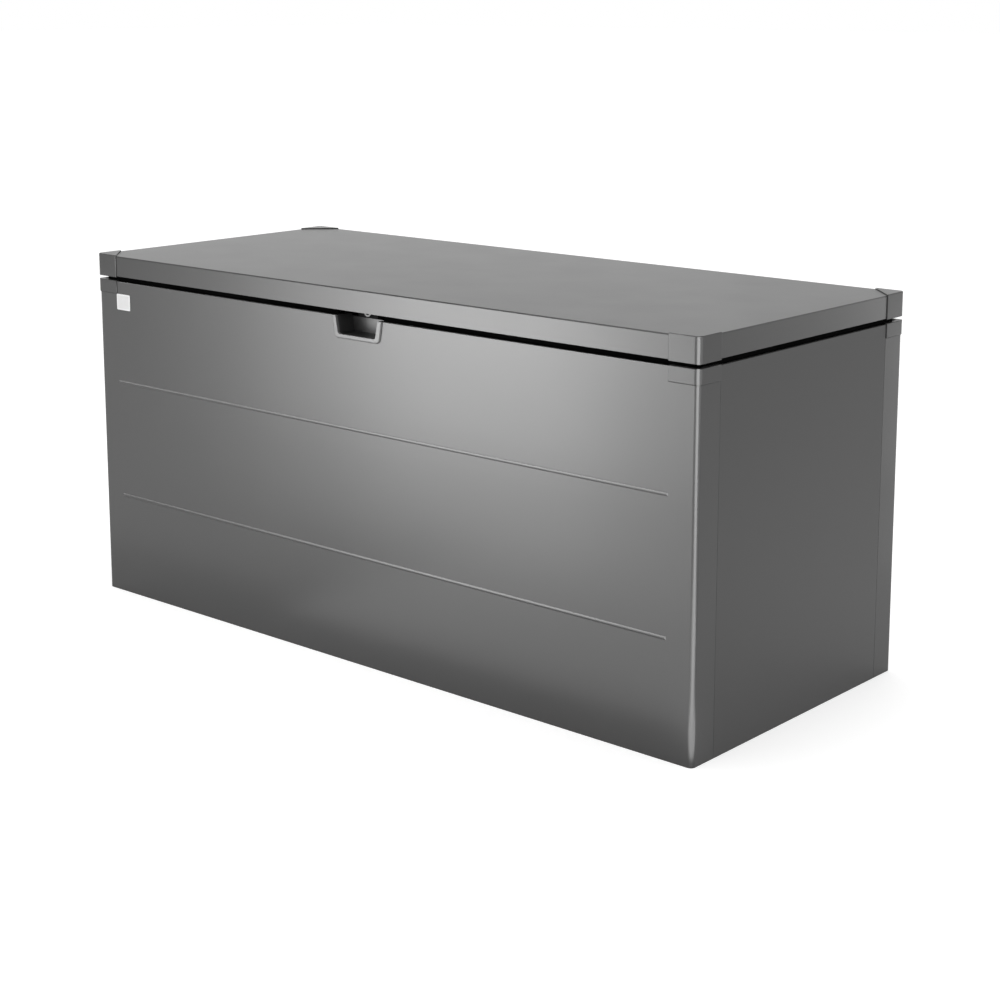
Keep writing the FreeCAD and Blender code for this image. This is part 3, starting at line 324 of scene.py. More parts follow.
BODY_GREY = 0.045
materials = {
    "body_sheet": painted_sheet("body_sheet_paint", BODY_GREY),
    "lid_sheet": painted_sheet("lid_sheet_paint", BODY_GREY),
    "corner_caps": painted_sheet("corner_cap_paint", BODY_GREY * 1.02),
    "floor_sheet": painted_sheet("floor_sheet_paint", BODY_GREY * 1.8),
    "stiffener_steel": zinc("stiffener_zinc", level=0.52, low=0.32, high=0.45),
    # The grip's dark recess colour is painted shade of the recess
    "grip_plastic": grip_plastic("grip_plastic", bezel_level=0.14, shaded_recess_level=0.03),
    "lock_plastic": moulded_plastic("lock_plastic", level=0.01, low=0.5, high=0.6, gloss=0.15),
    # The rubber's very dark level is black rubber and partly painted shade of the gap under the
    # lid
    "rubber": soft_rubber("seal_rubber", level=0.002),
    "bright_metal": polished_metal("lock_ring_plating", level=0.4, roughness=0.25),
    "lock_core": polished_metal("lock_core", level=0.012, roughness=0.35),
    "zinc_steel": zinc("fitting_zinc", level=0.42, low=0.28, high=0.42),
    "spring_tube": moulded_plastic("spring_tube_paint", level=0.02, low=0.22, high=0.3),
    "spring_rod": polished_metal("spring_rod_plating", level=0.78, roughness=0.16),
    "badge_plate": light_plate("badge_plate", level=0.86),
    "badge_border": light_plate("badge_border", level=0.97),
}

for node_object in frame["nodes"].values():
    for entry in node_object.material_slots:
        entry.material = materials[entry.material.name.split(".")[0]]
frame["nodes"]["lock_plug"].material_slots[0].material = materials["lock_core"]


# Softened edges on the folded sheets

SHEETS = ("front_panel", "rear_panel", "side_panel_left", "side_panel_right", "lid_panel")
SHEET_EDGE = 0.35 * MM
SHEET_EDGE_STEPS = 2


def soften(node):
    """Welds the node's split corners, joins its flat faces and rounds its sharp edges."""
    target = frame["nodes"][node]
    weld = target.modifiers.new("weld", "WELD")
    weld.merge_threshold = WELD_REACH
    flats = target.modifiers.new("flats", "DECIMATE")
    flats.decimate_type = "DISSOLVE"
    flats.angle_limit = FLAT_ANGLE
    rounding = target.modifiers.new("rounding", "BEVEL")
    rounding.width = SHEET_EDGE
    rounding.segments = SHEET_EDGE_STEPS
    rounding.limit_method = "ANGLE"
    rounding.angle_limit = SHARP_ANGLE
    rounding.use_clamp_overlap = False
    shading = target.modifiers.new("shading", "WEIGHTED_NORMAL")
    shading.keep_sharp = True


for sheet in SHEETS:
    soften(sheet)


# Corner caps with rounded outer edges

CAP_EDGE = 1.3 * MM
CAP_EDGE_STEPS = 3
OUTER_MARGIN = 0.3 * MM
DIAGONAL_LEAST = 10 * MM


def is_outer(place):
    """True for a place that stands proud of the sheets."""
    past_end = abs(place.x) > SHEET_END + OUTER_MARGIN
    past_long_side = abs(place.y) > SHEET_REAR + OUTER_MARGIN
    return past_end or past_long_side or place.z > LID_TOP + OUTER_MARGIN


def is_diagonal(first, second):
    """True for the cut across the corner on a lid cap's top plate, which stays crisp."""
    run = second - first
    return abs(run.x) > DIAGONAL_LEAST and abs(run.y) > DIAGONAL_LEAST


def rounded_cap(node, body):
    """The cap with its proud edges rounded and its inner ones left sharp."""
    made = bmesh.new()
    made.from_mesh(frame["nodes"][node].data)
    bmesh.ops.remove_doubles(made, verts=made.verts, dist=WELD_REACH)
    bmesh.ops.dissolve_limit(made, angle_limit=FLAT_ANGLE, verts=made.verts, edges=made.edges)
    proud = []
    for edge in made.edges:
        convex = len(edge.link_faces) == 2 and edge.calc_face_angle_signed() > SHARP_ANGLE
        places = [vertex.co for vertex in edge.verts]
        if convex and all(is_outer(place) for place in places) and not is_diagonal(*places):
            proud.append(edge)
    bmesh.ops.bevel(
        made, geom=proud, offset=CAP_EDGE, segments=CAP_EDGE_STEPS, profile=0.5, affect="EDGES"
    )
    mesh_data = finish_mesh(node, made, smooth_degrees=35)
    finish = materials["corner_caps"]
    cap = mesh_object(node + "_rounded", mesh_data, body, "corner_caps", finish)
    shading = cap.modifiers.new("shading", "WEIGHTED_NORMAL")
    shading.keep_sharp = True
    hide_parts(node)


for corner in ("front_left", "front_right", "rear_left", "rear_right"):
    rounded_cap("lid_cap_" + corner, "lid")
    rounded_cap("body_cap_" + corner, "box")


# Near-black strips where the caps' skirts meet the sheets: painted shade of the gap there

CORNER_RADIUS = 10 * MM
JOINT_WIDTH = 0.8 * MM
JOINT_PROUD = 0.3 * MM
JOINT_SINK = 0.2 * MM
JOINT_TOP_DROP = 3 * MM


def around_corner(side_x, side_y, start, finish, out):
    """Points along the sheet's outside from X = start, round one corner, to Y = finish."""
    centre_x = SHEET_END - CORNER_RADIUS
    centre_y = SHEET_REAR - CORNER_RADIUS
    reach = CORNER_RADIUS + out
    points = [(start, SHEET_REAR + out)]
    for step in range(CORNER_STEPS + 1):
        angle = math.radians(90 - 90 * step / CORNER_STEPS)
        points.append((centre_x + reach * math.cos(angle), centre_y + reach * math.sin(angle)))
    points.append((SHEET_END + out, finish))
    return [(side_x * x, side_y * y) for x, y in points]


def joint_strip(builder, corner, start, finish, low, high):
    """A shallow strip on the sheet that follows around_corner between two heights."""
    outer = around_corner(*corner, start, finish, JOINT_PROUD)
    inner = around_corner(*corner, start, finish, -JOINT_SINK)
    rings = []
    for out, back in zip(outer, inner):
        corners = ((*out, low), (*out, high), (*back, high), (*back, low))
        rings.append([builder.verts.new(place) for place in corners])
    skin(builder, rings)


def joint_post(builder, corner, along_x, place, low, high):
    """An upright strip beside a skirt's end, on the long side or on the end of the box."""
    side_x, side_y = corner
    section = (
        (0, -JOINT_SINK),
        (0, JOINT_PROUD),
        (JOINT_WIDTH, JOINT_PROUD),
        (JOINT_WIDTH, -JOINT_SINK),
    )
    rings = []
    for height in (low, high):
        ring = []
        for near, out in section:
            if along_x:
                point = (side_x * (place - near), side_y * (SHEET_REAR + out), height)
            else:
                point = (side_x * (SHEET_END + out), side_y * (place - near), height)
            ring.append(builder.verts.new(point))
        rings.append(ring)
    skin(builder, rings)


def joint_shade_mesh(name, kind):
    """The painted shade strips at the joints of the four caps of one kind."""
    made = bmesh.new()
    leg_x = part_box(kind + "_front_right")[0].x
    leg_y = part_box(kind + "_rear_right")[0].y
    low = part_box(kind + "_front_right")[0].z
    on_body = kind == "body_cap"
    foot = low if on_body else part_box("lid_panel")[0].z
    top = BODY_TOP if on_body else LID_TOP - JOINT_TOP_DROP
    for corner in ((-1, -1), (1, -1), (1, 1), (-1, 1)):
        if on_body:
            start = leg_x - JOINT_WIDTH
            finish = leg_y - JOINT_WIDTH
            joint_strip(made, corner, start, finish, low - JOINT_WIDTH, low)
        joint_post(made, corner, True, leg_x, foot, top)
        joint_post(made, corner, False, leg_y, foot, top)
    return finish_mesh(name, made, smooth_degrees=30)


for kind, body in (("body_cap", "box"), ("lid_cap", "lid")):
    joint = kind + "_joint_shade"
    # Near-black finish: these strips are painted shade in the gap beside each cap
    mesh_object(joint, joint_shade_mesh(joint, kind), body, "corner_caps", materials["lock_plastic"])


# Bare plate on the front, near the left end

PLATE_LEFT = -783 * MM
PLATE_WIDTH = 46.5 * MM
PLATE_HEIGHT = 36.5 * MM
PLATE_TOP_DROP = 28.1 * MM
PLATE_THICKNESS = 0.8 * MM
PLATE_CORNER = 2.2 * MM
PLATE_LEAST_CORNER = 0.4 * MM
PLATE_RIM = 3.2 * MM
PLATE_SINK = 0.25 * MM
PLATE_STEPS = 6


def plate_mesh():
    """A thin plate with round corners, a raised rim and a slightly sunk field."""
    made = bmesh.new()
    half_width = PLATE_WIDTH / 2
    half_height = PLATE_HEIGHT / 2
    edge = PLATE_THICKNESS * 0.4
    loops = (
        (0, 0),
        (0, PLATE_THICKNESS - edge),
        (edge, PLATE_THICKNESS),
        (PLATE_RIM, PLATE_THICKNESS),
        (PLATE_RIM + PLATE_SINK, PLATE_THICKNESS - PLATE_SINK),
    )
    rings = []
    for inset, proud in loops:
        radius = max(PLATE_CORNER - inset, PLATE_LEAST_CORNER)
        outline = rounded_outline(half_width - inset, half_height - inset, radius, PLATE_STEPS)
        rings.append([made.verts.new((x, -proud, z)) for x, z in outline])
    for inner, outer in zip(rings[1:], rings[:-1]):
        for index in range(len(outer)):
            after = (index + 1) % len(outer)
            made.faces.new((outer[index], outer[after], inner[after], inner[index]))
    field = made.faces.new(rings[-1])
    for face in made.faces:
        face.material_index = 1
    field.material_index = 0
    made.faces.new(list(reversed(rings[0])))
    bmesh.ops.recalc_face_normals(made, faces=made.faces)
    height = BODY_TOP - PLATE_TOP_DROP - half_height
    centre = Vector((PLATE_LEFT + half_width, SHEET_FRONT, height))
    bmesh.ops.translate(made, verts=made.verts, vec=centre)
    return finish_mesh("badge_plate", made, smooth_degrees=30)


plate = mesh_object("badge_plate", plate_mesh(), "box", "body_sheet", materials["badge_plate"])
plate.data.materials.append(materials["badge_border"])


# Rim seal with a lip that leans in and a skirt on the flange, open over the grip recess. The black
# skirt is partly a real seal and partly painted shade of the flange under the lid

SEAL_LOW, SEAL_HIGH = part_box("rim_seal")
SEAL_GAP_HALF = 65.8 * MM
SEAL_END = 2.5 * MM
SEAL_RADIUS = 20 * MM
SEAL_FOOT = 14 * MM
SEAL_FOOT_THICKNESS = 1.5 * MM
SEAL_WALL = 2.5 * MM
# How far the black skirt reaches over the flange, partly as painted shade there
SEAL_SHADE_SKIRT = 3.4 * MM
# Steps of a rounded end: how far along SEAL_END, and the share of the section left there
SEAL_ROUNDING = ((0.35, 0.94), (0.7, 0.72), (0.95, 0.35))


def seal_profile():
    """(outward, up) points of the seal's section, from its outer line."""
    low = SEAL_LOW.z
    top = SEAL_HIGH.z
    return [
        (SEAL_SHADE_SKIRT, low),
        (SEAL_SHADE_SKIRT, low + 0.5 * MM),
        (1.2 * MM, low + 1.2 * MM),
        (0, low + 3 * MM),
        (0, top - 5 * MM),
        (-0.5 * MM, top - 2 * MM),
        (-1.4 * MM, top - 0.4 * MM),
        (-2.3 * MM, top),
        (-3.4 * MM, top - 0.6 * MM),
        (-4.0 * MM, top - 2.2 * MM),
        (-3.4 * MM, top - 4 * MM),
        (-SEAL_WALL, top - 5.5 * MM),
        (-SEAL_WALL, low + SEAL_FOOT_THICKNESS + 1.2 * MM),
        (-SEAL_WALL - 1.2 * MM, low + SEAL_FOOT_THICKNESS),
        (0.6 * MM - SEAL_FOOT, low + SEAL_FOOT_THICKNESS),
        (-SEAL_FOOT, low + SEAL_FOOT_THICKNESS * 0.5),
        (-SEAL_FOOT, low),
    ]


def seal_path():
    """The outer line's places and outward angles, from one side of the grip round to the other."""
    half_x = SEAL_HIGH.x
    half_y = SEAL_HIGH.y
    path = [(SEAL_GAP_HALF + SEAL_END, SEAL_RADIUS - half_y, -90)]
    for corner, (side_x, side_y) in enumerate(((1, -1), (1, 1), (-1, 1), (-1, -1))):
        for step in range(CORNER_STEPS + 1):
            centre_x = side_x * (half_x - SEAL_RADIUS)
            centre_y = side_y * (half_y - SEAL_RADIUS)
            path.append((centre_x, centre_y, 90 * (corner - 1 + step / CORNER_STEPS)))
    path.append((-SEAL_GAP_HALF - SEAL_END, SEAL_RADIUS - half_y, -90))
    return path


def seal_ring(builder, place, share=1.0, shift=0.0):
    """The section at one place of the path, shrunk to a share and shifted along X."""
    centre_x, centre_y, degrees = place
    angle = math.radians(degrees)
    middle_out = -SEAL_WALL / 2
    middle_up = SEAL_LOW.z + SEAL_FOOT_THICKNESS
    ring = []
    for outward, up in seal_profile():
        reach = SEAL_RADIUS + middle_out + (outward - middle_out) * share
        height = max(middle_up + (up - middle_up) * share, SEAL_LOW.z)
        x = centre_x + reach * math.cos(angle) + shift
        y = centre_y + reach * math.sin(angle)
        ring.append(builder.verts.new((x, y, height)))
    return ring


def seal_mesh():
    """The whole strip, with its two ends rounded."""
    made = bmesh.new()
    path = seal_path()
    rings = [seal_ring(made, place) for place in path]
    for advance, share in SEAL_ROUNDING:
        rings.insert(0, seal_ring(made, path[0], share, -SEAL_END * advance))
        rings.append(seal_ring(made, path[-1], share, SEAL_END * advance))
    skin(made, rings)
    return finish_mesh("rim_seal_lip", made, smooth_degrees=35)


seal = mesh_object("rim_seal_lip", seal_mesh(), "box", "rubber", materials["rubber"])
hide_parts("rim_seal")


# Rubber stops under the lid's corners

BUFFER_LOW, BUFFER_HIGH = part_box("lid_buffers")
BUFFER_RADIUS = 9 * MM


def buffer_mesh():
    """Four stops: a flanged base on the rail, two grooves and a rounded, dished foot."""
    made = bmesh.new()
    height = BUFFER_HIGH.z - BUFFER_LOW.z
    wide = BUFFER_RADIUS
    profile = [
        (wide, 0),
        (wide, 5 * MM),
        (wide - 1.5 * MM, 6.5 * MM),
        (wide - 1.5 * MM, 11 * MM),
        (wide - 0.8 * MM, 12 * MM),
        (wide - 0.8 * MM, 15 * MM),
        (wide - 2 * MM, 16 * MM),
        (wide - 2 * MM, 20 * MM),
        (wide - 0.8 * MM, 21.5 * MM),
        (wide - 0.8 * MM, height - 3 * MM),
        (wide - 1.6 * MM, height - 0.9 * MM),
        (wide - 3.2 * MM, height),
        (wide - 4.4 * MM, height - 0.3 * MM),
        (wide - 5.5 * MM, height - 1.8 * MM),
    ]
    for side_x in (-1, 1):
        for side_y in (-1, 1):
            x = side_x * (BUFFER_HIGH.x - wide)
            y = side_y * (BUFFER_HIGH.y - wide)
            turned(made, (x, y, BUFFER_HIGH.z), (0, 0, -1), profile)
    return finish_mesh("lid_stops", made)


stops = mesh_object("lid_stops", buffer_mesh(), "lid", "rubber", materials["rubber"])
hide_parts("lid_buffers")


# Rivets of the hinge leaves, seen inside and as low domes on the back

HINGE_PLACES = (-620 * MM, 0, 620 * MM)
RIVET_OFFSETS = (-38 * MM, -13 * MM, 13 * MM, 38 * MM)
RIVET_RADIUS = 3.4 * MM
RIVET_HEIGHT = 1.2 * MM
RIVET_INSET = 14 * MM


def rivet_profile(radius, height):
    """A low dome with a small dimple."""
    return [
        (radius, 0),
        (radius, height * 0.25),
        (radius * 0.86, height * 0.62),
        (radius * 0.6, height * 0.9),
        (radius * 0.36, height),
        (radius * 0.28, height * 0.86),
    ]


def rivet_mesh(name, height, face, direction):
    """A row of rivets for each hinge, at a height on one face."""
    made = bmesh.new()
    for middle in HINGE_PLACES:
        for offset in RIVET_OFFSETS:
            place = (middle + offset, face, height)
            profile = rivet_profile(RIVET_RADIUS, RIVET_HEIGHT)
            turned(made, place, (0, direction, 0), profile, steps=20)
    return finish_mesh(name, made)


LEAF_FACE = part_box("hinge_body_leaves")[0].y
BODY_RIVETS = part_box("hinge_body_leaves")[0].z + RIVET_INSET
LID_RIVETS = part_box("hinge_lid_leaves")[1].z - RIVET_INSET
for body, slot, row in (("box", "body_sheet", BODY_RIVETS), ("lid", "lid_sheet", LID_RIVETS)):
    inner = body + "_hinge_rivets"
    inner_mesh = rivet_mesh(inner, row, LEAF_FACE, -1)
    mesh_object(inner, inner_mesh, body, "zinc_steel", materials["zinc_steel"])
    outer = body + "_rear_rivets"
    outer_mesh = rivet_mesh(outer, row, SHEET_REAR, 1)
    mesh_object(outer, outer_mesh, body, slot, materials[slot])


# Wiper rings on the gas springs

WIPER_RADIUS = 8.4 * MM
WIPER_BORE = 4.2 * MM
WIPER_RISE = 2.6 * MM


def wiper_mesh(name, node):
    """A bored collar that closes the tube's upper end round the rod."""
    made = bmesh.new()
    low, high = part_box(node)
    profile = [
        (WIPER_BORE, 0),
        (WIPER_RADIUS, 0),
        (WIPER_RADIUS, WIPER_RISE * 0.6),
        (WIPER_RADIUS * 0.9, WIPER_RISE),
        (WIPER_BORE * 1.3, WIPER_RISE),
        (WIPER_BORE, WIPER_RISE * 0.7),
    ]
    centre = ((low.x + high.x) / 2, (low.y + high.y) / 2, high.z)
    turned(made, centre, (0, 0, 1), profile, steps=28, bored=True)
    return finish_mesh(name, made)


for side in ("left", "right"):
    name = "gas_spring_wiper_" + side
    tube = "gas_tube_" + side
    mesh_object(name, wiper_mesh(name, tube), tube, "spring_tube", materials["lock_plastic"])


# Spot welds that hold the lid's rails and ribs

WELD_RADIUS = 3 * MM
WELD_HEIGHT = 0.35 * MM
WELD_PITCH = 100 * MM
WELD_INSET = 6 * MM
RAIL_WALL = 1.2 * MM


def weld_rows(node, along):
    """Places in two rows on the feet of one rail or rib, which runs along X or Y."""
    low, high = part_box(node)
    across = 1 - along
    count = max(2, round((high[along] - low[along]) / WELD_PITCH))
    pitch = (high[along] - low[along]) / count
    for edge in (low[across] + WELD_INSET, high[across] - WELD_INSET):
        for index in range(count):
            place = [0, 0, high.z - RAIL_WALL]
            place[along] = low[along] + (index + 0.5) * pitch
            place[across] = edge
            yield tuple(place)


def weld_mesh():
    """Flat rings pressed in by the welding tips."""
    made = bmesh.new()
    profile = [
        (WELD_RADIUS, 0),
        (WELD_RADIUS * 0.95, WELD_HEIGHT * 0.7),
        (WELD_RADIUS * 0.8, WELD_HEIGHT),
        (WELD_RADIUS * 0.62, WELD_HEIGHT * 0.45),
    ]
    rows = [("lid_rail_front", 0), ("lid_rail_rear", 0)]
    rows += [("lid_rib_" + place, 1) for place in ("left", "middle", "right")]
    for node, along in rows:
        for place in weld_rows(node, along):
            turned(made, place, (0, 0, -1), profile, steps=16)
    return finish_mesh("rail_spot_welds", made, smooth_degrees=30)


mesh_object("rail_spot_welds", weld_mesh(), "lid", "stiffener_steel", materials["stiffener_steel"])


# Floor

FLOOR_HALF = 60.0
FLOOR_GREY = 0.82
FLOOR_GLOW = 0.42
FLOOR_SHEEN = 0.12


def floor_glow(tree):
    """The floor's own light for the camera and through glass, and a weaker one for reflections."""
    path = tree.nodes.new("ShaderNodeLightPath")
    total = None
    rays = (
        ("Is Camera Ray", FLOOR_GLOW),
        ("Is Transmission Ray", FLOOR_GLOW),
        ("Is Glossy Ray", FLOOR_SHEEN),
    )
    for kind, level in rays:
        scaled = tree.nodes.new("ShaderNodeMath")
        scaled.operation = "MULTIPLY_ADD"
        scaled.inputs[1].default_value = level
        scaled.inputs[2].default_value = 0.0
        tree.links.new(path.outputs[kind], scaled.inputs[0])
        if total is not None:
            tree.links.new(total, scaled.inputs[2])
        total = scaled.outputs[0]
    return total


def floor_material():
    """A pale matt floor with a glow of its own."""
    material = bpy.data.materials.new("pale_floor")
    material.use_nodes = True
    tree = material.node_tree
    tree.nodes.clear()
    diffuse = tree.nodes.new("ShaderNodeBsdfDiffuse")
    diffuse.inputs["Color"].default_value = (FLOOR_GREY, FLOOR_GREY, FLOOR_GREY, 1)
    glow = tree.nodes.new("ShaderNodeEmission")
    tree.links.new(floor_glow(tree), glow.inputs["Strength"])
    both = tree.nodes.new("ShaderNodeAddShader")
    tree.links.new(diffuse.outputs[0], both.inputs[0])
    tree.links.new(glow.outputs[0], both.inputs[1])
    output = tree.nodes.new("ShaderNodeOutputMaterial")
    tree.links.new(both.outputs[0], output.inputs["Surface"])
    return material


FLOOR_CORNERS = ((-1, -1), (1, -1), (1, 1), (-1, 1))
floor_mesh = bpy.data.meshes.new("floor")
floor_places = [(x * FLOOR_HALF, y * FLOOR_HALF, 0) for x, y in FLOOR_CORNERS]
floor_mesh.from_pydata(floor_places, [], [(0, 1, 2, 3)])
floor_mesh.materials.append(floor_material())
floor = bpy.data.objects.new("floor", floor_mesh)
bpy.context.scene.collection.objects.link(floor)


# World and lamps

WORLD_LEVEL = 0.85
CEILING_RISE = 0.5
CEILING_LEVEL = 0.5
world = bpy.data.worlds.new("studio")
world.use_nodes = True
bpy.context.scene.world = world
backdrop = world.node_tree.nodes["Background"]
backdrop.inputs["Color"].default_value = (1, 1, 1, 1)
world_tree = world.node_tree


def world_math(operation, first, second):
    """A math node in the world's tree, fed by sockets or numbers."""
    made = world_tree.nodes.new("ShaderNodeMath")
    made.operation = operation
    for socket, value in zip(made.inputs, (first, second)):
        if isinstance(value, float):
            socket.default_value = value
        else:
            world_tree.links.new(value, socket)
    return made.outputs[0]


# In reflections the sky is white at the horizon and darker above it. The camera sees plain white
direction = world_tree.nodes.new("ShaderNodeTexCoord")
split = world_tree.nodes.new("ShaderNodeSeparateXYZ")
world_tree.links.new(direction.outputs["Generated"], split.inputs[0])
ceiling = world_tree.nodes.new("ShaderNodeMapRange")
ceiling.inputs["From Max"].default_value = CEILING_RISE
ceiling.inputs["To Min"].default_value = 1.0
ceiling.inputs["To Max"].default_value = CEILING_LEVEL
world_tree.links.new(split.outputs["Z"], ceiling.inputs["Value"])
path = world_tree.nodes.new("ShaderNodeLightPath")
glossy_ray = path.outputs["Is Glossy Ray"]
clear_rays = world_math("MAXIMUM", glossy_ray, path.outputs["Is Transmission Ray"])
sheen = world_math("SUBTRACT", ceiling.outputs["Result"], WORLD_LEVEL)
reflected = world_math("MULTIPLY", clear_rays, sheen)
seen = world_math("MULTIPLY", path.outputs["Is Camera Ray"], 1.0 - WORLD_LEVEL)
strength = world_math("ADD", reflected, seen)
strength = world_math("ADD", strength, WORLD_LEVEL)
world_tree.links.new(strength, backdrop.inputs["Strength"])


def area_lamp(name, centre, turn, width, height, strength):
    """An upright area lamp. A turn of 0 faces the box from the front and 90 from the right."""
    data = bpy.data.lights.new(name, "AREA")
    data.shape = "RECTANGLE"
    data.size = width
    data.size_y = height
    data.energy = strength * width * height
    lamp = bpy.data.objects.new(name, data)
    lamp.location = centre
    lamp.rotation_euler = (math.radians(90), 0, math.radians(turn))
    lamp.visible_camera = False
    bpy.context.scene.collection.objects.link(lamp)
    return lamp


def softbox(name, azimuth, distance, low, high, width, strength):
    """An upright lamp that stands round the box at an azimuth and faces it."""
    angle = math.radians(azimuth)
    centre = (distance * math.sin(angle), -distance * math.cos(angle), (low + high) / 2)
    return area_lamp(name, centre, azimuth, width, high - low, strength)


def receivers(name, slots, nodes=()):
    """A collection of the pieces with these finishes or names, for lamps that light only them."""
    found = bpy.data.collections.new(name)
    for piece in bpy.context.scene.objects:
        if piece.type != "MESH" or piece.hide_render:
            continue
        own = [entry.material.name for entry in piece.material_slots]
        wanted = [materials[slot].name for slot in slots]
        if piece.name in nodes or any(entry in wanted for entry in own):
            found.objects.link(piece)
    return found


# Most lamps show only on the painted and moulded outside, so that bare metal isn't blown out
SHEEN_SLOTS = ("body_sheet", "lid_sheet", "corner_caps", "grip_plastic", "badge_plate")
painted = receivers("painted_pieces", SHEEN_SLOTS)
front_pieces = receivers("front_pieces", (), ("front_panel",))
lid_pieces = receivers("lid_pieces", (), ("lid_panel",))


def end_nodes(end):
    """Names of the sheets and caps that make the outside at the front or rear."""
    names = [end + "_panel", "lid_panel"]
    for kind in ("lid", "body"):
        for side in ("left", "right"):
            names.append(f"{kind}_cap_{end}_{side}_rounded")
    return names


front_side_pieces = receivers("front_side_pieces", ("grip_plastic",), end_nodes("front"))
rear_side_pieces = receivers("rear_side_pieces", (), end_nodes("rear"))
INSIDE_METAL = ("floor_sheet", "zinc_steel", "stiffener_steel")
INSIDE_SLOTS = INSIDE_METAL + ("spring_tube", "lock_plastic", "rubber")
INSIDE_NODES = ("front_panel", "rear_panel", "side_panel_left", "side_panel_right")
inside_pieces = receivers("inside_pieces", INSIDE_SLOTS, INSIDE_NODES)
RIGHT_CORNER = ("front_panel", "lid_cap_front_right_rounded", "body_cap_front_right_rounded")
corner_pieces = receivers("corner_pieces", (), RIGHT_CORNER)


def sheen_only(lamp, pieces):
    """The lamp shows as a reflection on these pieces and lights nothing else."""
    lamp.visible_diffuse = False
    lamp.light_linking.receiver_collection = pieces


# Rows of a bank: lower edge, height and share of the strength
BANK_STEP = 0.4
FRONT_ROWS = ((0.0, 0.25, 0.4), (0.25, 0.25, 0.8), (0.5, 0.4, 1.0))
REAR_ROWS = ((0.0, 0.25, 0.4), (0.25, 0.25, 0.8), (0.5, 0.24, 1.0))


def light_bank(name, pieces, rows, middle, spread, reach, line, turn, strength):
    """Lamps side by side along X, fading to both sides, that only show as a soft sheen."""
    count = round(2 * reach / BANK_STEP)
    for column in range(count):
        x = middle - reach + (column + 0.5) * BANK_STEP
        fade = math.exp(-(((x - middle) / spread) ** 2))
        for row, (low_edge, height, share) in enumerate(rows):
            centre = (x, line, low_edge + height / 2)
            label = f"{name}_{column}_{row}"
            lamp = area_lamp(label, centre, turn, BANK_STEP, height, strength * fade * share)
            sheen_only(lamp, pieces)


light_bank(
    "front_bank", painted, FRONT_ROWS,
    middle=-0.4, spread=0.65, reach=1.2, line=-1.2, turn=0, strength=32,
)
light_bank(
    "rear_bank", rear_side_pieces, REAR_ROWS,
    middle=0.4, spread=0.6, reach=0.8, line=1.0, turn=180, strength=11,
)
open_lid_lamp = area_lamp(
    "rear_lid_softbox", (1.0, 2.6, 0.9), turn=180, width=2.0, height=1.4, strength=6
)
sheen_only(open_lid_lamp, lid_pieces)

CORNER_AZIMUTH = 51
right_softbox = softbox(
    "front_right_softbox", CORNER_AZIMUTH,
    distance=2.4, low=0.0, high=1.6, width=1.6, strength=26,
)
sheen_only(right_softbox, corner_pieces)
horizon_softbox = softbox(
    "rear_left_softbox", azimuth=226,
    distance=2.0, low=0.75, high=1.1, width=2.0, strength=0.55,
)
sheen_only(horizon_softbox, painted)

# Two lamps beside each end. They stop below the lid's top, so that they don't show on it
SIDE_DISTANCE = 2.3
SIDE_WIDTH = 1.0
SIDE_LAMPS = (("low", 0.0, 0.35, 2.5), ("high", 0.35, 0.74, 6.5))
for side, azimuth in (("right", 90), ("left", 270)):
    for place, low_edge, high_edge, strength in SIDE_LAMPS:
        label = f"{side}_side_softbox_{place}"
        lamp = softbox(label, azimuth, SIDE_DISTANCE, low_edge, high_edge, SIDE_WIDTH, strength)
        sheen_only(lamp, painted)

upper_lamp = area_lamp(
    "front_upper_softbox", (-0.35, -1.2, 1.5), turn=0, width=1.9, height=1.0, strength=32
)
sheen_only(upper_lamp, front_pieces)
upper_left_lamp = area_lamp(
    "front_upper_left_softbox", (-2.15, -1.2, 1.5), turn=0, width=1.7, height=1.0, strength=17
)
sheen_only(upper_left_lamp, front_pieces)

FLOOR_LAMP_RISE = 4 * MM
FACING_UP = math.radians(180)


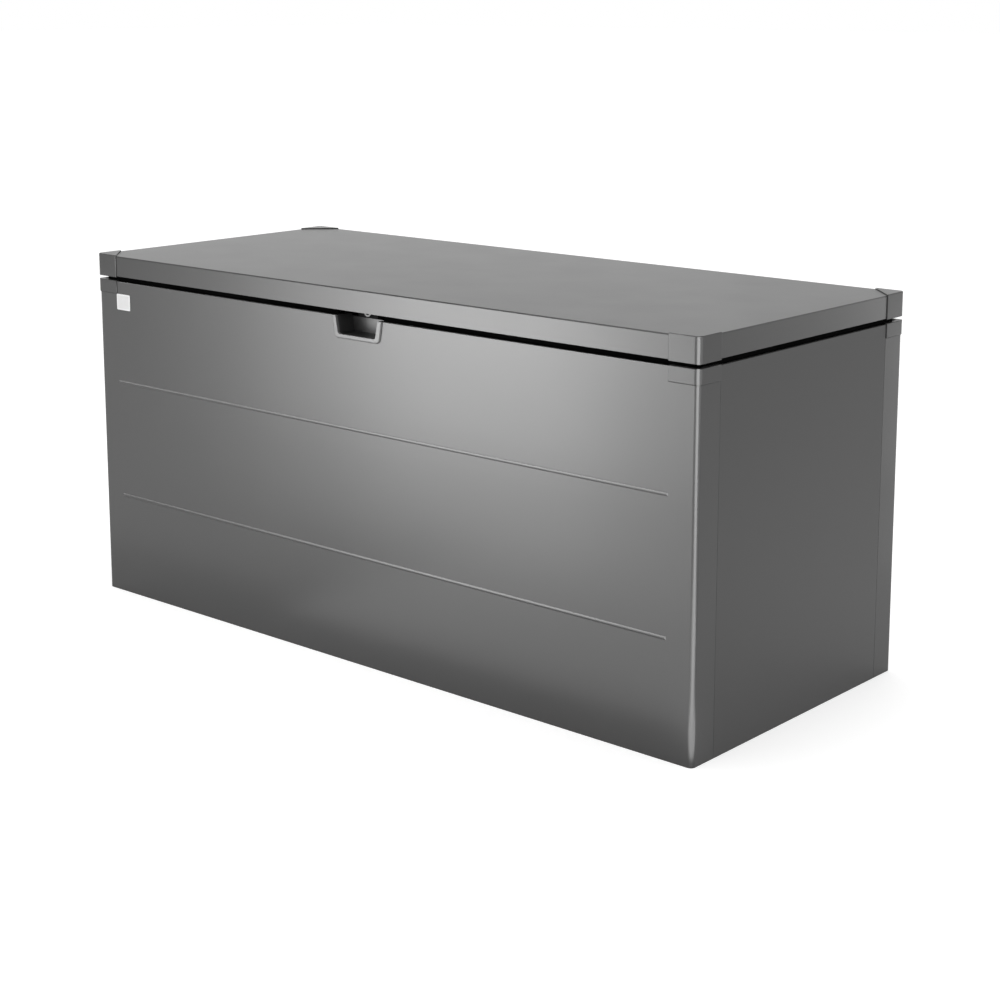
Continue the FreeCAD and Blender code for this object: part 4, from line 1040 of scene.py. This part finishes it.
def floor_softbox(name, pieces, centre, azimuth, width, depth, strength):
    """A lamp that lies on the floor, faces up and only shows as a soft sheen on these pieces."""
    lamp = area_lamp(name, (*centre, FLOOR_LAMP_RISE), 0, width, depth, strength)
    lamp.rotation_euler = (FACING_UP, 0, math.radians(azimuth))
    sheen_only(lamp, pieces)


def corner_floor_softbox(name, near, far, width, strength):
    """A floor lamp before the near corner, between two distances from it."""
    angle = math.radians(CORNER_AZIMUTH)
    reach = (near + far) / 2
    centre = (SHEET_END + reach * math.sin(angle), -SHEET_REAR - reach * math.cos(angle))
    floor_softbox(name, corner_pieces, centre, CORNER_AZIMUTH, width, far - near, strength)


floor_softbox(
    "far_floor_softbox", front_side_pieces, (-2.2, -2.3),
    azimuth=0, width=7.0, depth=3.4, strength=1.2,
)
floor_softbox(
    "near_floor_softbox", front_side_pieces, (0.4, -0.95),
    azimuth=0, width=1.6, depth=0.9, strength=3.0,
)
corner_floor_softbox("corner_floor_near", near=0.03, far=0.45, width=0.45, strength=15.5)
corner_floor_softbox("corner_floor_far", near=0.45, far=1.5, width=1.1, strength=21.0)


def hanging_softbox(name, height, width, depth, strength):
    """A lamp over the middle of the box that faces down."""
    lamp = area_lamp(name, (0, 0, height), 0, width, depth, strength)
    lamp.rotation_euler = (0, 0, 0)
    return lamp


hanging_softbox("overhead_softbox", height=3.2, width=3.0, depth=2.0, strength=6)
inside_lamp = hanging_softbox("inside_softbox", height=2.3, width=1.4, depth=0.5, strength=200)
inside_lamp.light_linking.receiver_collection = inside_pieces


# Camera at the photograph's angle

CAMERA_PLACE = Vector((2.7877, -3.0997, 1.3869))
CAMERA_TURN = math.radians(41.179)
CAMERA_TILT = math.radians(10.365)
CAMERA_SENSOR = 36
CAMERA_LENS = 70.095
CAMERA_SHIFT = -0.15

camera_data = bpy.data.cameras.new("camera")
camera_data.sensor_width = CAMERA_SENSOR
camera_data.lens = CAMERA_LENS
camera_data.shift_y = CAMERA_SHIFT
camera = bpy.data.objects.new("camera", camera_data)
camera.location = CAMERA_PLACE
camera.rotation_euler = (math.radians(90) - CAMERA_TILT, 0, CAMERA_TURN)
bpy.context.scene.collection.objects.link(camera)
bpy.context.scene.camera = camera

bpy.context.scene.view_settings.view_transform = "Standard"
